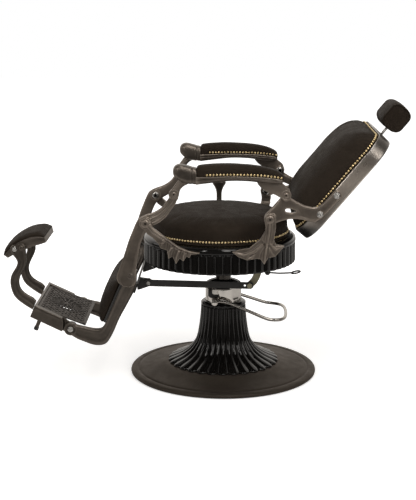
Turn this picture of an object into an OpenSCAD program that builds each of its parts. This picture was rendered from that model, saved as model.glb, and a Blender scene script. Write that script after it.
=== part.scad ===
// Hydraulic barber chair, shown fully reclined.
// Origin on the floor under the column. Minus Y is the front, plus X is the sitter's left, Z is up.

/* [Overall] */
// Radius of the round floor base
base_r = 345; // [335:1:355]
// Height of the column cap above the floor
cap_z = 353; // [351:1:356]
// Radius of the seat cushion
seat_r = 251; // [246:1:253]
// Front-to-back offset of the seat centre
seat_y = -14; // [-15:1:-13]
// Height of the underside of the seat pan
pan_z = 513; // [513:1:515]

/* [Column] */
// Radius of the column neck at its top
neck_r = 83; // [81:1:84]
// Number of flutes round the column
neck_flutes = 30; // [24:2:32]
// Radius of the column foot
foot_r = 205; // [195:1:215]
// Radius of the chrome pump housing
pump_r = 66.5; // [65:0.5:68]
// Radius of the lifting piston
piston_r = 28; // [26:0.5:30]

/* [Seat] */
// Outer radius of the fluted seat skirt
skirt_r = 279; // [277:0.5:280]
// Number of flutes round the skirt
skirt_flutes = 56; // [48:2:60]
// Height of the lower edge of the skirt
skirt_z = 428; // [426:1:440]
// Number of nailheads round the seat
seat_nail_count = 140; // [100:4:140]

/* [Side castings] */
// Inner face of the lever castings, measured from the centre
lever_x = 275; // [275:0.5:276]
// Thickness of the lever castings
lever_t = 13; // [11:0.5:13]
// Thickness of the outer brackets and straps
strap_t = 8; // [6:0.5:9]
// Radius of the main pivot pins
pin_r = 6; // [5:0.25:7]

/* [Back and headrest] */
// Crown of the back cushion above its panel
back_crown = 91; // [70:1:95]
// Radius of the headrest post
post_r = 5; // [4:0.5:6]
// Length of the headrest pad
headrest_len = 200; // [180:5:240]

/* [Footrest] */
// Half width of the pierced footplate
grille_w = 156; // [154:1:156]
// Half width of the foot pad
foot_pad_w = 100; // [90:1:100]

/* [Fits] */
// Radial running clearance of the pivots
run = 0.05; // [0.03:0.01:0.1]
// Radial play of the armrest front pivot
play_arm = 1; // [0.9:0.1:1.5]
// Radial play of the drag link rear pivot
play_link = 3; // [2.8:0.1:3.4]

/* [Hidden] */
$fn = 48;
iron = [0.24, 0.21, 0.19];
black = [0.05, 0.05, 0.05];
leather = [0.10, 0.09, 0.08];
brass = [0.75, 0.57, 0.28];
chrome = [0.78, 0.78, 0.78];
olive = [0.45, 0.43, 0.34];
// Pivot centres as [Y, Z]
F0 = [-266, 616];
R0 = [161, 632];
F1 = [-168, 717];
R1 = [215, 715];
B0 = [-268, 370];
B1 = [95, 362];
Q0 = [145, 500];
H0 = [-547, 207];
K0 = [-320, 428];
P0 = [-31, 282];
T0 = [-20, 470];
back_tilt = 50;
lever_x1 = lever_x + lever_t;
outer_x = lever_x1 + 1;
lx = lever_x + lever_t / 2;
pan_t = 4;
rim_z = 500;
base_top = 42;

// Extrudes a side-view profile from x0 to x1
module side(x0, x1) {
  multmatrix([[0, 0, 1, x0], [1, 0, 0, 0], [0, 1, 0, 0], [0, 0, 0, 1]]) linear_extrude(x1 - x0) children();
}
// Round bar or bore across the chair
module xcyl(p, r, x0, x1) {
  translate([x0, p[0], p[1]]) rotate([0, 90, 0]) cylinder(r = r, h = x1 - x0);
}
module mirrored() {
  mirror([1, 0, 0]) children();
}

// Cross sections for castings: [share of the width, share of the half thickness]
plain = [[0, -0.5], [0.14, -1], [0.86, -1], [1, -0.5], [1, 0.5], [0.86, 1], [0.14, 1], [0, 0.5]];
soft_sec = [[0, -0.6], [0.1, -0.88], [0.28, -1], [0.72, -1], [0.9, -0.88], [1, -0.6],
  [1, 0.6], [0.9, 0.88], [0.72, 1], [0.28, 1], [0.1, 0.88], [0, 0.6]];

// Skin through rings of n points each
module skin(P, n, m, out, strips = false) {
  tri = [for (i = [0 : m - 2]) for (j = [0 : n - 1])
    let (a = i * n + j, b = i * n + (j + 1) % n, c = (i + 1) * n + (j + 1) % n, d = (i + 1) * n + j)
    each (out ? [[a, d, c], [a, c, b]] : [[a, c, d], [a, b, c]])];
  ends = strips ? [for (j = [0 : n / 2 - 2]) each [[j, j + 1, n - 2 - j], [j, n - 2 - j, n - 1 - j]]]
    : [[for (j = [0 : n - 1]) j]];
  caps = [for (k = [0, 1]) for (f = ends)
    [for (j = [0 : len(f) - 1]) f[(out == (k == 0)) ? j : len(f) - 1 - j] + k * (m - 1) * n]];
  polyhedron(points = P, faces = concat(tri, caps), convexity = 10);
}
// Casting through stations [first edge, second edge, X centre, thickness]
module loft(S, sec) {
  P = [for (s = S) for (q = sec)
    let (c = s[0] + (s[1] - s[0]) * q[0]) [s[2] + q[1] * s[3] / 2, c[0], c[1]]];
  a = S[0][1] - S[0][0];
  w = S[1][0] + S[1][1] - S[0][0] - S[0][1];
  skin(P, len(sec), len(S), a[0] * w[1] - a[1] * w[0] < 0);
}
// Round bar through points in space
function unit(v) = v / norm(v);
module rod(P, r, ref, k) {
  m = len(P);
  pts = [for (i = [0 : m - 1])
    let (t = unit(P[min(i + 1, m - 1)] - P[max(i - 1, 0)]), b = unit(cross(t, ref)), n = cross(t, b))
    for (j = [0 : k - 1]) P[i] + r * (b * cos(j * 360 / k) + n * sin(j * 360 / k))];
  skin(pts, k, m, true);
}
// Rounded rectangle outline, half sizes w and h
function rr_pts(w, h, r, k) = [for (c = [0 : 3]) for (i = [0 : k])
  let (sx = (c == 0 || c == 3) ? 1 : -1, sy = c < 2 ? 1 : -1, t = c * 90 + i * 90 / k)
  [sx * (w - r) + r * cos(t), sy * (h - r) + r * sin(t)]];
// Cushion: outline scaled and raised through rings [scale, height]
module cushion(O, R) {
  P = [for (q = R) for (o = O) [o[0] * q[0], o[1] * q[0], q[1]]];
  skin(P, len(O), len(R), true);
}
module rrect(w, h, r) {
  square([2 * w - 2 * r, 2 * h], center = true);
  square([2 * w, 2 * h - 2 * r], center = true);
  for (sx = [-1, 1]) for (sy = [-1, 1]) translate([sx * (w - r), sy * (h - r)]) circle(r = r);
}
// Decorative nailhead, base on the XY plane
module nailhead() {
  cylinder(r1 = 4.6, r2 = 0, h = 3, $fn = 5);
}

// ---------------------------------------------------------------- base and pump
sole_r = base_r - 14;
module sole_plate() {
  color(iron) cylinder(r = sole_r, h = 3, $fn = 96);
}
module base_disc() {
  color(iron) rotate_extrude($fn = 96)
    polygon([[sole_r, 0], [base_r - 8, 0], [base_r - 1, 4], [base_r, 9], [base_r - 2, 13],
      [base_r - 9, 16], [base_r - 22, 18], [base_r - 26, 16.5], [base_r - 31, 16.5], [base_r - 35, 19],
      [base_r - 60, 23], [base_r - 100, 31], [foot_r + 6, base_top - 1], [foot_r, base_top],
      [0, base_top], [0, base_top - 8], [foot_r + 4, base_top - 9], [base_r - 100, 23], [base_r - 60, 15],
      [base_r - 35, 11], [base_r - 20, 9], [base_r - 20, 3], [sole_r, 3]]);
}
collar_z = 272.5;
neck_rings = [[base_top, foot_r - 3, 5], [base_top + 4, foot_r, 8], [base_top + 9, foot_r - 6, 9],
  [base_top + 17, foot_r - 28, 9], [base_top + 28, foot_r - 52, 8], [base_top + 43, foot_r - 74, 7],
  [base_top + 60, neck_r + 32, 6], [base_top + 78, neck_r + 20, 5], [base_top + 98, neck_r + 13.5, 4.5],
  [base_top + 142, neck_r + 6, 4], [262, neck_r - 0.5, 4]];
function flute(j) = j % 4 == 0 ? 1 : (j % 4 == 2 ? 0 : 0.22);
module pedestal() {
  n = neck_flutes * 4;
  m = len(neck_rings);
  bore = [[262, pump_r + 2.5], [base_top + 98, neck_r - 1], [base_top + 52, neck_r + 17],
    [base_top + 20, foot_r - 60], [base_top, foot_r - 20]];
  P = concat([for (q = neck_rings) for (j = [0 : n - 1])
      let (r = q[1] - q[2] * flute(j), t = j * 360 / n) [r * cos(t), r * sin(t), q[0]]],
    [for (q = bore) for (j = [0 : n - 1]) let (t = j * 360 / n) [q[1] * cos(t), q[1] * sin(t), q[0]]]);
  f = [for (i = [0 : m + 4]) for (j = [0 : n - 1])
    let (k = (i + 1) % (m + 5), a = i * n + j, b = i * n + (j + 1) % n, c = k * n + (j + 1) % n)
    each [[a, k * n + j, c], [a, c, b]]];
  color(black) polyhedron(points = P, faces = f, convexity = 10);
  color(black) rotate_extrude($fn = 96)
    polygon([[pump_r, 262], [neck_r - 1, 262], [neck_r, 263.5], [neck_r, 266], [neck_r - 7, 271.5],
      [neck_r - 10, collar_z], [pump_r, collar_z]]);
}
module pump_housing() {
  color(chrome) difference() {
    union() {
      translate([0, 0, base_top]) cylinder(r = piston_r + 14, h = 280);
      translate([0, 0, base_top]) cylinder(r = 75, h = 10);
      difference() {
        translate([0, 0, 240]) cylinder(r = pump_r, h = 88);
        translate([0, 0, 230]) cylinder(r = pump_r - 9, h = 88);
      }
      translate([0, 0, 328]) cylinder(r1 = pump_r, r2 = pump_r - 2, h = 2);
      for (s = [-1, 1]) translate([s > 0 ? 40 : -66, -56, 286]) cube([26, 38, 41]);
      for (s = [-1, 1]) translate([s > 0 ? 40 : -66, -46, collar_z]) cube([26, 28, 14]);
    }
    translate([0, 0, 60]) cylinder(r = piston_r + run, h = 300);
    for (s = [-1, 1]) rotate([0, 0, s * 45]) translate([pump_r - 3, -40, 287]) cube([20, 80, 38]);
    xcyl(P0, 5, 50, 70);
    xcyl(P0, 5, -70, -50);
  }
}
module column_cap() {
  color(black) difference() {
    rotate_extrude()
      polygon([[0, 330], [64, 330], [65, 332], [65, 337], [62, 341], [52, 346], [38, 350.5], [30, cap_z],
        [0, cap_z]]);
    translate([0, 0, 320]) cylinder(r = piston_r + run, h = 50);
  }
}
module lever_pins() {
  color(chrome) for (s = [0, 1]) mirror([s, 0, 0]) {
    xcyl(P0, 5, 50, 100);
    difference() {
      xcyl(P0, 8, 66, 85);
      xcyl(P0, 4, 60, 90);
    }
  }
}
module stop_strap() {
  color(black) side(66, 70)
    polygon([[-55, 328], [-55, 306], [-50, 298], [-40, 295], [-18, 297], [-18, 307], [-36, 307],
      [-40, 311], [-40, 328]]);
}
module pump_lever() {
  a = [[92, -31, 291], [92, -16, 294], [92, 10, 286], [90, 36, 277], [84, 60, 268], [74, 87, 258],
    [62, 115, 248], [50, 142, 237], [42, 172, 228], [37, 194, 225]];
  u = [for (t = [80 : -20 : -80]) [37 * sin(t), 197 + 34 * cos(t), 225 + 2 * cos(t)]];
  b = [for (i = [len(a) - 1 : -1 : 0]) [-a[i][0], a[i][1], a[i][2]]];
  color(chrome) difference() {
    union() {
      rod(concat(a, u, b), 5, [0, 0, 1], 10);
      for (s = [0, 1]) mirror([s, 0, 0]) xcyl(P0, 11.5, 86, 98);
    }
    xcyl(P0, 5 + run, 80, 105);
    xcyl(P0, 5 + run, -105, -80);
  }
}

// ---------------------------------------------------------------- lift and seat
module piston() {
  color(chrome) translate([0, 0, 130]) cylinder(r = piston_r, h = 310);
  color(chrome) translate([0, 0, 440]) cylinder(r = piston_r - 8, h = 68);
}
module seat_spider() {
  color(black) difference() {
    union() {
      rotate_extrude()
        polygon([[0, 372], [38, 372], [40, 374], [40, 430], [58, 470], [58, pan_z], [0, pan_z]]);
      for (a = [0 : 90 : 270]) rotate([0, 0, a]) translate([0, -20, pan_z - 14]) cube([225, 40, 14]);
    }
    translate([0, 0, 360]) cylinder(r = piston_r + 0.5, h = 80);
    translate([0, 0, 400]) cylinder(r = piston_r - 8 + run, h = 110);
  }
}
module seat_pan() {
  color(black) translate([0, seat_y, pan_z]) cylinder(r = 268, h = pan_t, $fn = 96);
}
module tab_slots(g) {
  for (s = [0, 1]) mirror([s, 0, 0]) {
    translate([200, -165 - g, pan_z - 10 - g]) cube([90, 30 + 2 * g, 10 + g]);
    translate([200, 95 - g, pan_z - 10 - g]) cube([90, 30 + 2 * g, 10 + g]);
  }
}
module seat_rim() {
  color(black) difference() {
    translate([0, seat_y, 0]) rotate_extrude($fn = 96)
      polygon([[258, pan_z - 6], [270, pan_z - 6], [270, rim_z], [skirt_r - 3, rim_z],
        [skirt_r - 0.5, rim_z + 4], [skirt_r - 1, pan_z + 1], [skirt_r - 6, pan_z + 8], [264, pan_z + 12],
        [258, pan_z + 13], [256, pan_z + 12], [257, pan_z + 9.5], [268, pan_z + pan_t], [268, pan_z],
        [258, pan_z]]);
    tab_slots(0.3);
  }
}
skirt_rings = [[rim_z, skirt_r - 2, 2.5], [rim_z - 12, skirt_r - 2, 5], [skirt_z + 6, skirt_r, 5],
  [skirt_z, skirt_r - 1, 4]];
module seat_skirt() {
  n = skirt_flutes * 4;
  m = len(skirt_rings);
  inner = 270.5;
  P = concat([for (q = skirt_rings) for (j = [0 : n - 1])
      let (r = q[1] - q[2] * flute(j), t = j * 360 / n) [r * cos(t), r * sin(t) + seat_y, q[0]]],
    [for (z = [skirt_z, rim_z]) for (j = [0 : n - 1])
      let (t = j * 360 / n) [inner * cos(t), inner * sin(t) + seat_y, z]]);
  f = [for (i = [0 : m + 1]) for (j = [0 : n - 1])
    let (k = (i + 1) % (m + 2), a = i * n + j, b = i * n + (j + 1) % n, c = k * n + (j + 1) % n)
    each [[a, c, k * n + j], [a, b, c]]];
  color(black) difference() {
    polyhedron(points = P, faces = f, convexity = 10);
    xcyl(T0, 11, -300, -255);
  }
}
module seat_board() {
  color([0.2, 0.16, 0.12]) translate([0, seat_y, pan_z + pan_t]) cylinder(r = seat_r - 1, h = 13, $fn = 96);
}
cush_z = pan_z + pan_t + 13;
module seat_cushion() {
  color(leather) translate([0, seat_y, cush_z]) rotate_extrude($fn = 96)
    polygon([[0, 0], [seat_r - 1, 0], [seat_r, 5], [seat_r, 14], [seat_r + 1, 30], [seat_r, 46],
      [seat_r - 3, 58], [seat_r - 10, 69], [seat_r - 22, 77], [seat_r - 45, 82], [seat_r - 90, 85.5],
      [seat_r - 160, 87.5], [0, 88]]);
}
module seat_nails() {
  color(brass) for (i = [0 : seat_nail_count - 1]) translate([0, seat_y, cush_z + 9.5])
    rotate([0, 0, i * 360 / seat_nail_count]) translate([seat_r, 0, 0]) rotate([0, 90, 0]) nailhead();
}
// Outer boss and arm of a seat bracket, then its leaf against the skirt
front_leaf = [[-232, 594], [-215, 580], [-195, 564], [-176, 549], [-158, 537], [-138, 526], [-117, 518],
  [-96, 514], [-78, 512], [-92, 505], [-110, 505], [-116, 493], [-125, 500], [-136, 481], [-149, 492],
  [-162, 472], [-174, 499], [-188, 490], [-193, 521], [-214, 527], [-226, 549], [-234, 570]];
module front_bracket() {
  color(iron) difference() {
    union() {
      side(outer_x, outer_x + 12) polygon([[-283, 607], [-270, 595], [-259, 579], [-240, 566],
        [-226, 549], [-205, 545], [-190, 560], [-215, 581], [-240, 602], [-252, 629], [-266, 634]]);
      xcyl(F0, 20, outer_x, outer_x + 13);
      side(skirt_r - 2, outer_x + 1) polygon(front_leaf);
      loft([[[-238, 596], [-232, 588], outer_x + 7, 12], [[-215, 583], [-208, 574], outer_x + 5, 11],
        [[-195, 566], [-189, 556], outer_x + 3, 11], [[-158, 538], [-154, 528], outer_x + 3, 9],
        [[-117, 519], [-115, 512], outer_x + 2, 8], [[-84, 512], [-84, 508], outer_x, 6]], plain);
      for (q = [[-176, 530, -188, 493], [-150, 520, -162, 476], [-130, 512, -136, 484]])
        loft([[[q[0] - 5, q[1]], [q[0] + 5, q[1]], outer_x + 1, 8],
          [[q[2] - 4, q[3] + 20], [q[2] + 4, q[3] + 20], outer_x + 1, 9],
          [[q[2] - 1, q[3] + 2], [q[2] + 1, q[3] + 2], outer_x, 3]], plain);
      translate([200, -165, pan_z - 10]) cube([78, 30, 10]);
    }
    xcyl(F0, pin_r, lever_x - 15, outer_x + 30);
  }
}
rear_leaf = [[146, 604], [144, 588], [130, 563], [110, 545], [91, 529], [60, 524], [31, 515], [54, 497],
  [84, 486], [114, 492], [129, 491], [143, 471], [156, 495], [181, 500], [200, 523], [213, 538],
  [183, 543], [176, 558], [178, 583], [182, 604]];
module rear_bracket() {
  color(iron) difference() {
    union() {
      side(outer_x, outer_x + 12) polygon([[141, 636], [146, 604], [144, 588], [134, 560], [150, 545],
        [172, 545], [176, 560], [178, 583], [182, 604], [181, 636]]);
      xcyl(R0, 20, outer_x, outer_x + 13);
      side(skirt_r - 2, outer_x + 1) polygon([for (p = rear_leaf) [p[0], min(p[1], 588)]]);
      loft([[[156, 618], [166, 618], outer_x + 11, 6], [[152, 580], [162, 580], outer_x + 10, 9],
        [[146, 545], [158, 545], outer_x + 5, 11], [[142, 510], [152, 510], outer_x + 1, 9],
        [[142, 480], [145, 480], outer_x, 3]], plain);
      loft([[[134, 548], [142, 540], outer_x + 1, 8], [[104, 522], [108, 510], outer_x + 1, 9],
        [[70, 508], [70, 500], outer_x + 1, 8], [[42, 513], [42, 510], outer_x, 3]], plain);
      loft([[[168, 548], [162, 540], outer_x + 1, 8], [[186, 530], [180, 520], outer_x + 1, 8],
        [[204, 536], [203, 532], outer_x, 3]], plain);
      translate([200, 95, pan_z - 10]) cube([78, 30, 10]);
    }
    xcyl(R0, pin_r, lever_x - 15, outer_x + 30);
  }
}
module front_bracket_left() {
  front_bracket();
}
module front_bracket_right() {
  mirrored() front_bracket();
}
module rear_bracket_left() {
  rear_bracket();
}
module rear_bracket_right() {
  mirrored() rear_bracket();
}
// Pivot pin with domed head outside and nut inside
module pivot_pin(p, head_x) {
  xcyl(p, pin_r, lever_x - 10, head_x);
  translate([head_x, p[0], p[1]]) rotate([0, 90, 0]) cylinder(r1 = 14, r2 = 9, h = 4);
  difference() {
    xcyl(p, 13, lever_x - 3.5, lever_x - 1);
    xcyl(p, pin_r - 1, lever_x - 5, lever_x);
  }
  translate([lever_x - 10, p[0], p[1]]) rotate([0, 90, 0]) cylinder(r = 10, h = 6.5, $fn = 6);
}
module seat_pivot_pins() {
  color(chrome) for (s = [0, 1]) mirror([s, 0, 0]) {
    pivot_pin(F0, outer_x + 13);
    pivot_pin(R0, outer_x + 13);
    xcyl(Q0, 5, 126, 151);
    translate([151, Q0[0], Q0[1]]) rotate([0, 90, 0]) cylinder(r = 8, h = 4, $fn = 6);
  }
}
module rocker_hangers() {
  color(black) for (s = [0, 1]) mirror([s, 0, 0]) for (x = [129, 145]) difference() {
    side(x, x + 6) polygon([[130, pan_z], [130, 492], [137, 486], [153, 486], [160, 492], [160, pan_z]]);
    xcyl(Q0, 5, x - 2, x + 8);
  }
}
module lever_block() {
  color(black) difference() {
    union() {
      translate([-254, -38, T0[1]]) cube([18, 36, pan_z - T0[1]]);
      xcyl(T0, 18, -254, -236);
    }
    xcyl(T0, 9 + run, -270, -230);
  }
}
module recline_lever() {
  color(iron) {
    xcyl(T0, 9, -318, -234);
    difference() {
      xcyl(T0, 17, -330, -302);
      xcyl(T0, 8, -316, -300);
    }
    loft([[[-33, 482], [-7, 482], -318, 20], [[-31, 520], [-9, 520], -322, 16],
      [[-30, 600], [-10, 600], -329, 14], [[-31, 622], [-9, 622], -330, 16],
      [[-36, 638], [-4, 638], -330, 22], [[-43, 650], [3, 650], -330, 26],
      [[-46, 656], [6, 656], -330, 28], [[-45, 662], [5, 662], -330, 27],
      [[-38, 666], [-2, 666], -330, 20]], plain);
  }
}
rod_p = [160, 400];
module rod_bracket() {
  color(black) difference() {
    side(96, 101) polygon([[146, pan_z], [148, 440], [150, 396], [154, 390], [166, 390], [170, 396],
      [172, 440], [178, pan_z]]);
    xcyl(rod_p, 4, 90, 105);
  }
}
module release_rod() {
  color(black) {
    xcyl(rod_p, 4 - run, 94, 112);
    difference() {
      xcyl(rod_p, 9, 102, 110);
      xcyl(rod_p, 3, 101, 111);
    }
    rod([[106, 165, 400], [106, 200, 398], [106, 246, 400]], 3, [0, 0, 1], 8);
    translate([106, 262, 402]) rotate([12, 0, 0]) rotate_extrude() translate([16, 0, 0]) circle(r = 3);
  }
}

// ---------------------------------------------------------------- back and headrest
back_w = lever_x;
back_n = 126;
back_c = 826;
back_h = 221;
back_bolt_at = [[332, 648], [388, 713]];
module in_back() {
  rotate([back_tilt, 0, 0]) translate([0, back_c, 0]) children();
}
// Lower and upper edges of the back bracket, front to rear
back_line = [[[146, 618], [143, 645]], [[168, 612], [160, 663]], [[182, 617], [180, 686]],
  [[200, 624], [197, 706]], [[230, 631], [224, 710]], [[252, 631], [250, 694]], [[274, 628], [280, 679]],
  [[298, 622], [306, 673]], [[317, 620], [325, 675]], [[338, 634], [345, 689]], [[364, 663], [366, 713]],
  [[390, 690], [384, 733]], [[407, 710], [396, 732]]];
module back_bracket() {
  color(iron) difference() {
    union() {
      loft([for (q = back_line) [q[0], q[1], lx, lever_t]], plain);
      xcyl(R1, 17, lever_x, lever_x1);
      xcyl(R0, 20, lever_x, lever_x1);
    }
    xcyl(R0, pin_r + run, lever_x - 15, lever_x1 + 12);
    xcyl(R1, pin_r + run, lever_x - 15, lever_x1 + 12);
    side(lever_x - 15, lever_x1 + 12) polygon([[212, 661], [216, 668], [232, 667], [256, 657], [236, 653],
      [216, 655]]);
    for (b = back_bolt_at) xcyl(b, 4, lever_x - 15, lever_x1 + 12);
  }
}
module back_bracket_left() {
  back_bracket();
}
module back_bracket_right() {
  mirrored() back_bracket();
}
module back_shell() {
  color(iron) in_back() difference() {
    translate([0, 0, back_n]) linear_extrude(50) rrect(back_w, back_h, 88);
    translate([0, 0, back_n + 4]) linear_extrude(60) rrect(back_w - 4, back_h - 4, 84);
    translate([0, 180, back_n + 11]) rotate([-90, 0, 0]) cylinder(r = post_r + 1, h = 60);
    bolt_bores();
  }
}
module bolt_bores() {
  translate([0, -back_c, 0]) rotate([-back_tilt, 0, 0]) for (b = back_bolt_at) {
    xcyl(b, 4, lever_x - 35, lever_x1 + 12);
    xcyl(b, 4, -lever_x1 - 12, -lever_x + 35);
  }
}
module back_panel() {
  color([0.2, 0.16, 0.12]) in_back() difference() {
    translate([0, 0, back_n + 26]) linear_extrude(24) rrect(back_w - 4, back_h - 4, 84);
    bolt_bores();
  }
}
module back_cushion() {
  H = back_crown;
  color(leather) in_back() translate([0, 0, back_n + 50])
    cushion(rr_pts(back_w - 12, back_h - 9, 78, 8), [[0.985, 0], [1, H * 0.05], [1.005, H * 0.14],
      [0.99, H * 0.24], [0.955, H * 0.38], [0.895, H * 0.53], [0.8, H * 0.68], [0.68, H * 0.8],
      [0.53, H * 0.9], [0.35, H * 0.96], [0.17, H * 0.995], [0.05, H]]);
}
module back_nails() {
  w = back_w - 7.4;
  h = back_h - 4.4;
  r = 82;
  z = back_n + 50;
  color(brass) in_back() {
    for (s = [-1, 1]) for (i = [0 : 24]) translate([s * (w - 0.5), -(h - r) + i * 2 * (h - r) / 24, z])
      nailhead();
    for (s = [-1, 1]) for (i = [0 : 32]) translate([-(w - r) + i * 2 * (w - r) / 32, s * (h - 0.5), z])
      nailhead();
    for (c = [[1, 1, 0], [-1, 1, 90], [-1, -1, 180], [1, -1, 270]]) for (i = [1 : 10])
      translate([c[0] * (w - r), c[1] * (h - r), z]) rotate([0, 0, c[2] + i * 90 / 11])
        translate([r - 0.5, 0, 0]) nailhead();
  }
}
module back_bolts() {
  color(chrome) for (s = [0, 1]) mirror([s, 0, 0]) for (b = back_bolt_at) {
    xcyl(b, 4, lever_x - 30, lever_x1 + 1);
    translate([lever_x1, b[0], b[1]]) rotate([0, 90, 0]) cylinder(r1 = 9, r2 = 6, h = 4.5);
  }
}
module headrest_socket() {
  color(chrome) in_back() difference() {
    translate([-11, 120, back_n + 4]) cube([22, 97, 16]);
    translate([0, 100, back_n + 11]) rotate([-90, 0, 0]) cylinder(r = post_r + run, h = 130);
  }
}
module headrest_post() {
  color(chrome) in_back() translate([0, 44, back_n + 11]) rotate([-90, 0, 0]) cylinder(r = post_r, h = 240);
}
module headrest_pad() {
  L = headrest_len / 2;
  S = [[-L, 0.72], [-L + 3, 0.86], [-L + 10, 0.95], [-L + 26, 1], [-L / 3, 1.02], [L / 3, 1.02],
    [L - 26, 1], [L - 10, 0.95], [L - 3, 0.86], [L, 0.72]];
  O = rr_pts(48, 43, 29, 5);
  P = [for (s = S) for (o = O) [s[0], 298 + o[0] * s[1], back_n + 23 + o[1] * s[1]]];
  color(leather) in_back() difference() {
    skin(P, len(O), len(S), true);
    translate([0, 200, back_n + 11]) rotate([-90, 0, 0]) cylinder(r = post_r, h = 84);
  }
}

// ---------------------------------------------------------------- leg frame
// Stations [first edge, second edge, share of the moulding]
leg_line = [[[-180, 716], [-156, 715], 1], [[-184, 706], [-153, 702], 1], [[-189, 698], [-158, 694], 1],
  [[-196, 688], [-162, 684], 1], [[-204, 677], [-172, 670], 1], [[-215, 667], [-184, 653], 1],
  [[-229, 658], [-197, 636], 1], [[-244, 651], [-214, 621], 1], [[-262, 645], [-236, 608], 1],
  [[-278, 638], [-246, 602], 1], [[-292, 628], [-251, 599], 0.7], [[-302, 610], [-257, 594], 0.3],
  [[-313, 584], [-268, 579], 0], [[-324, 557], [-280, 552], 0], [[-333, 530], [-287, 528], 0],
  [[-341, 505], [-293, 503], 0], [[-352, 474], [-298, 474], 0], [[-362, 446], [-301, 450], 0],
  [[-368, 428], [-303, 428], 0], [[-367, 412], [-302, 408], 0], [[-360, 400], [-308, 394], 0],
  [[-346, 391], [-322, 388], 0]];
moulded = [[1, 0.35, 0.6], [0.9, 0.8, 1], [0.74, 0.8, 1], [0.66, 0.4, 1], [0.58, 1, 1], [0.42, 1, 1],
  [0.34, 0.4, 1], [0.26, 0.8, 1], [0.1, 0.8, 1], [0, 0.35, 0.6]];
plain_side = [[0, -0.6], [0.12, -1], [0.88, -1], [1, -0.6]];
module leg_casting() {
  P = [for (s = leg_line) let (m = s[2], face = [for (k = moulded) [k[0], k[1] * m + k[2] * (1 - m)]])
    for (q = concat(plain_side, face))
    let (c = s[0] + (s[1] - s[0]) * q[0]) [lx + q[1] * (lever_t - 0.4) / 2, c[0], c[1]]];
  skin(P, 14, len(leg_line), true);
}
module leg_lever() {
  color(iron) difference() {
    union() {
      leg_casting();
      xcyl(F0, 23, lever_x, lever_x1);
      xcyl(F1, 17, lever_x, lever_x1);
    }
    xcyl(F0, pin_r + run, lever_x - 15, lever_x1 + 12);
    xcyl(F1, pin_r + play_arm, lever_x - 15, lever_x1 + 12);
    xcyl(K0, 5, lever_x - 15, lever_x1 + 12);
  }
}
module leg_lever_left() {
  leg_lever();
}
module leg_lever_right() {
  mirrored() leg_lever();
}
// Centre of a leg frame at the knee and at the footrest hinge
fx = lever_x - 12;
hx = grille_w + 22;
function at(k) = hx + (fx - hx) * k;
frame_t = 24;
// Stations [first edge, second edge, share of the way from the hinge out to the knee]
leg_bar = [[[-354, 446], [-298, 446], 1], [[-352, 420], [-300, 420], 1],
  [[-352, 391], [-303, 391], 0.894], [[-366.8, 357], [-315, 357], 0.706],
  [[-380.6, 325], [-331, 325], 0.529], [[-395.8, 290], [-348, 292], 0.353],
  [[-408, 262], [-362, 266], 0.224], [[-421, 232], [-377, 234], 0.118],
  [[-427, 221], [-390, 203], 0.071], [[-433, 214], [-405, 174], 0.035],
  [[-440, 210], [-421, 153], 0.012], [[-448, 209], [-445, 146], 0], [[-462, 209], [-471, 149], 0],
  [[-484, 213], [-500, 160], 0], [[-510, 219], [-524, 170], 0], [[-534, 225], [-546, 184], 0]];
module leg_frame() {
  color(iron) difference() {
    union() {
      loft([for (q = leg_bar) [q[0], q[1], at(q[2]), frame_t]], plain);
      xcyl(H0, 23, hx - frame_t / 2, hx + frame_t / 2);
    }
    xcyl(K0, 5, fx - 20, lever_x1 + 2);
    xcyl(H0, pin_r, hx - 20, hx + 20);
  }
}
module leg_frame_left() {
  leg_frame();
}
module leg_frame_right() {
  mirrored() leg_frame();
}
module leg_bolts() {
  color(chrome) for (s = [0, 1]) mirror([s, 0, 0]) {
    xcyl(H0, pin_r, hx - 28, hx + 13);
    translate([hx + 12, H0[0], H0[1]]) rotate([0, 90, 0]) cylinder(r1 = 11, r2 = 7, h = 5);
    translate([hx - 28, H0[0], H0[1]]) rotate([0, 90, 0]) cylinder(r = 10, h = 5, $fn = 6);
    xcyl(K0, 5, lever_x - 30, lever_x1 + 1);
    translate([lever_x1, K0[0], K0[1]]) rotate([0, 90, 0]) cylinder(r1 = 9, r2 = 6, h = 4);
    translate([lever_x - 30, K0[0], K0[1]]) rotate([0, 90, 0]) cylinder(r = 8, h = 6, $fn = 6);
  }
}
calf_a = atan2(159, 69);
calf_low = at(0.118) - 2;
calf_top = fx - 23;
module in_calf() {
  translate([0, -421, 232]) rotate([calf_a, 0, 0]) children();
}
module calf_board() {
  color(iron) in_calf() translate([0, 0, 0.1]) linear_extrude(8)
    polygon([[-calf_low, -0.5], [calf_low, -0.5], [calf_top, 172], [-calf_top, 172]]);
}
module calf_pad() {
  O = [for (p = rr_pts((calf_low + calf_top) / 2 - 6, 88, 26, 5)) [p[0] * (1 + p[1] * 0.0013), p[1]]];
  color(leather) in_calf() translate([0, 80, 8.1])
    cushion(O, [[0.97, 0], [1, 3], [1, 9], [0.965, 17], [0.9, 24], [0.78, 30], [0.6, 35], [0.38, 38],
      [0.12, 39]]);
}
module leg_cross_bar() {
  color(black) {
    side(-fx + 21, fx - 21) polygon([[-303, 391], [-315, 357], [-309.3, 355], [-297.3, 389]]);
    for (s = [0, 1]) mirror([s, 0, 0]) difference() {
      union() {
        side(132, 144) polygon([[-298, 388], [-309, 357], [-308, 343], [-300, 344], [-264, 357],
          [-255, 365], [-255, 376], [-264, 384], [-276, 385]]);
        xcyl(B0, 14, 132, 144);
      }
      xcyl(B0, 5, 120, 160);
    }
    mirror([1, 0, 0]) side(198, 206) polygon([[-298, 391], [-310, 354], [-298, 347], [-286, 352],
      [-290, 380], [-294, 405], [-303, 424], [-309, 424], [-301, 396]]);
  }
}

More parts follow.
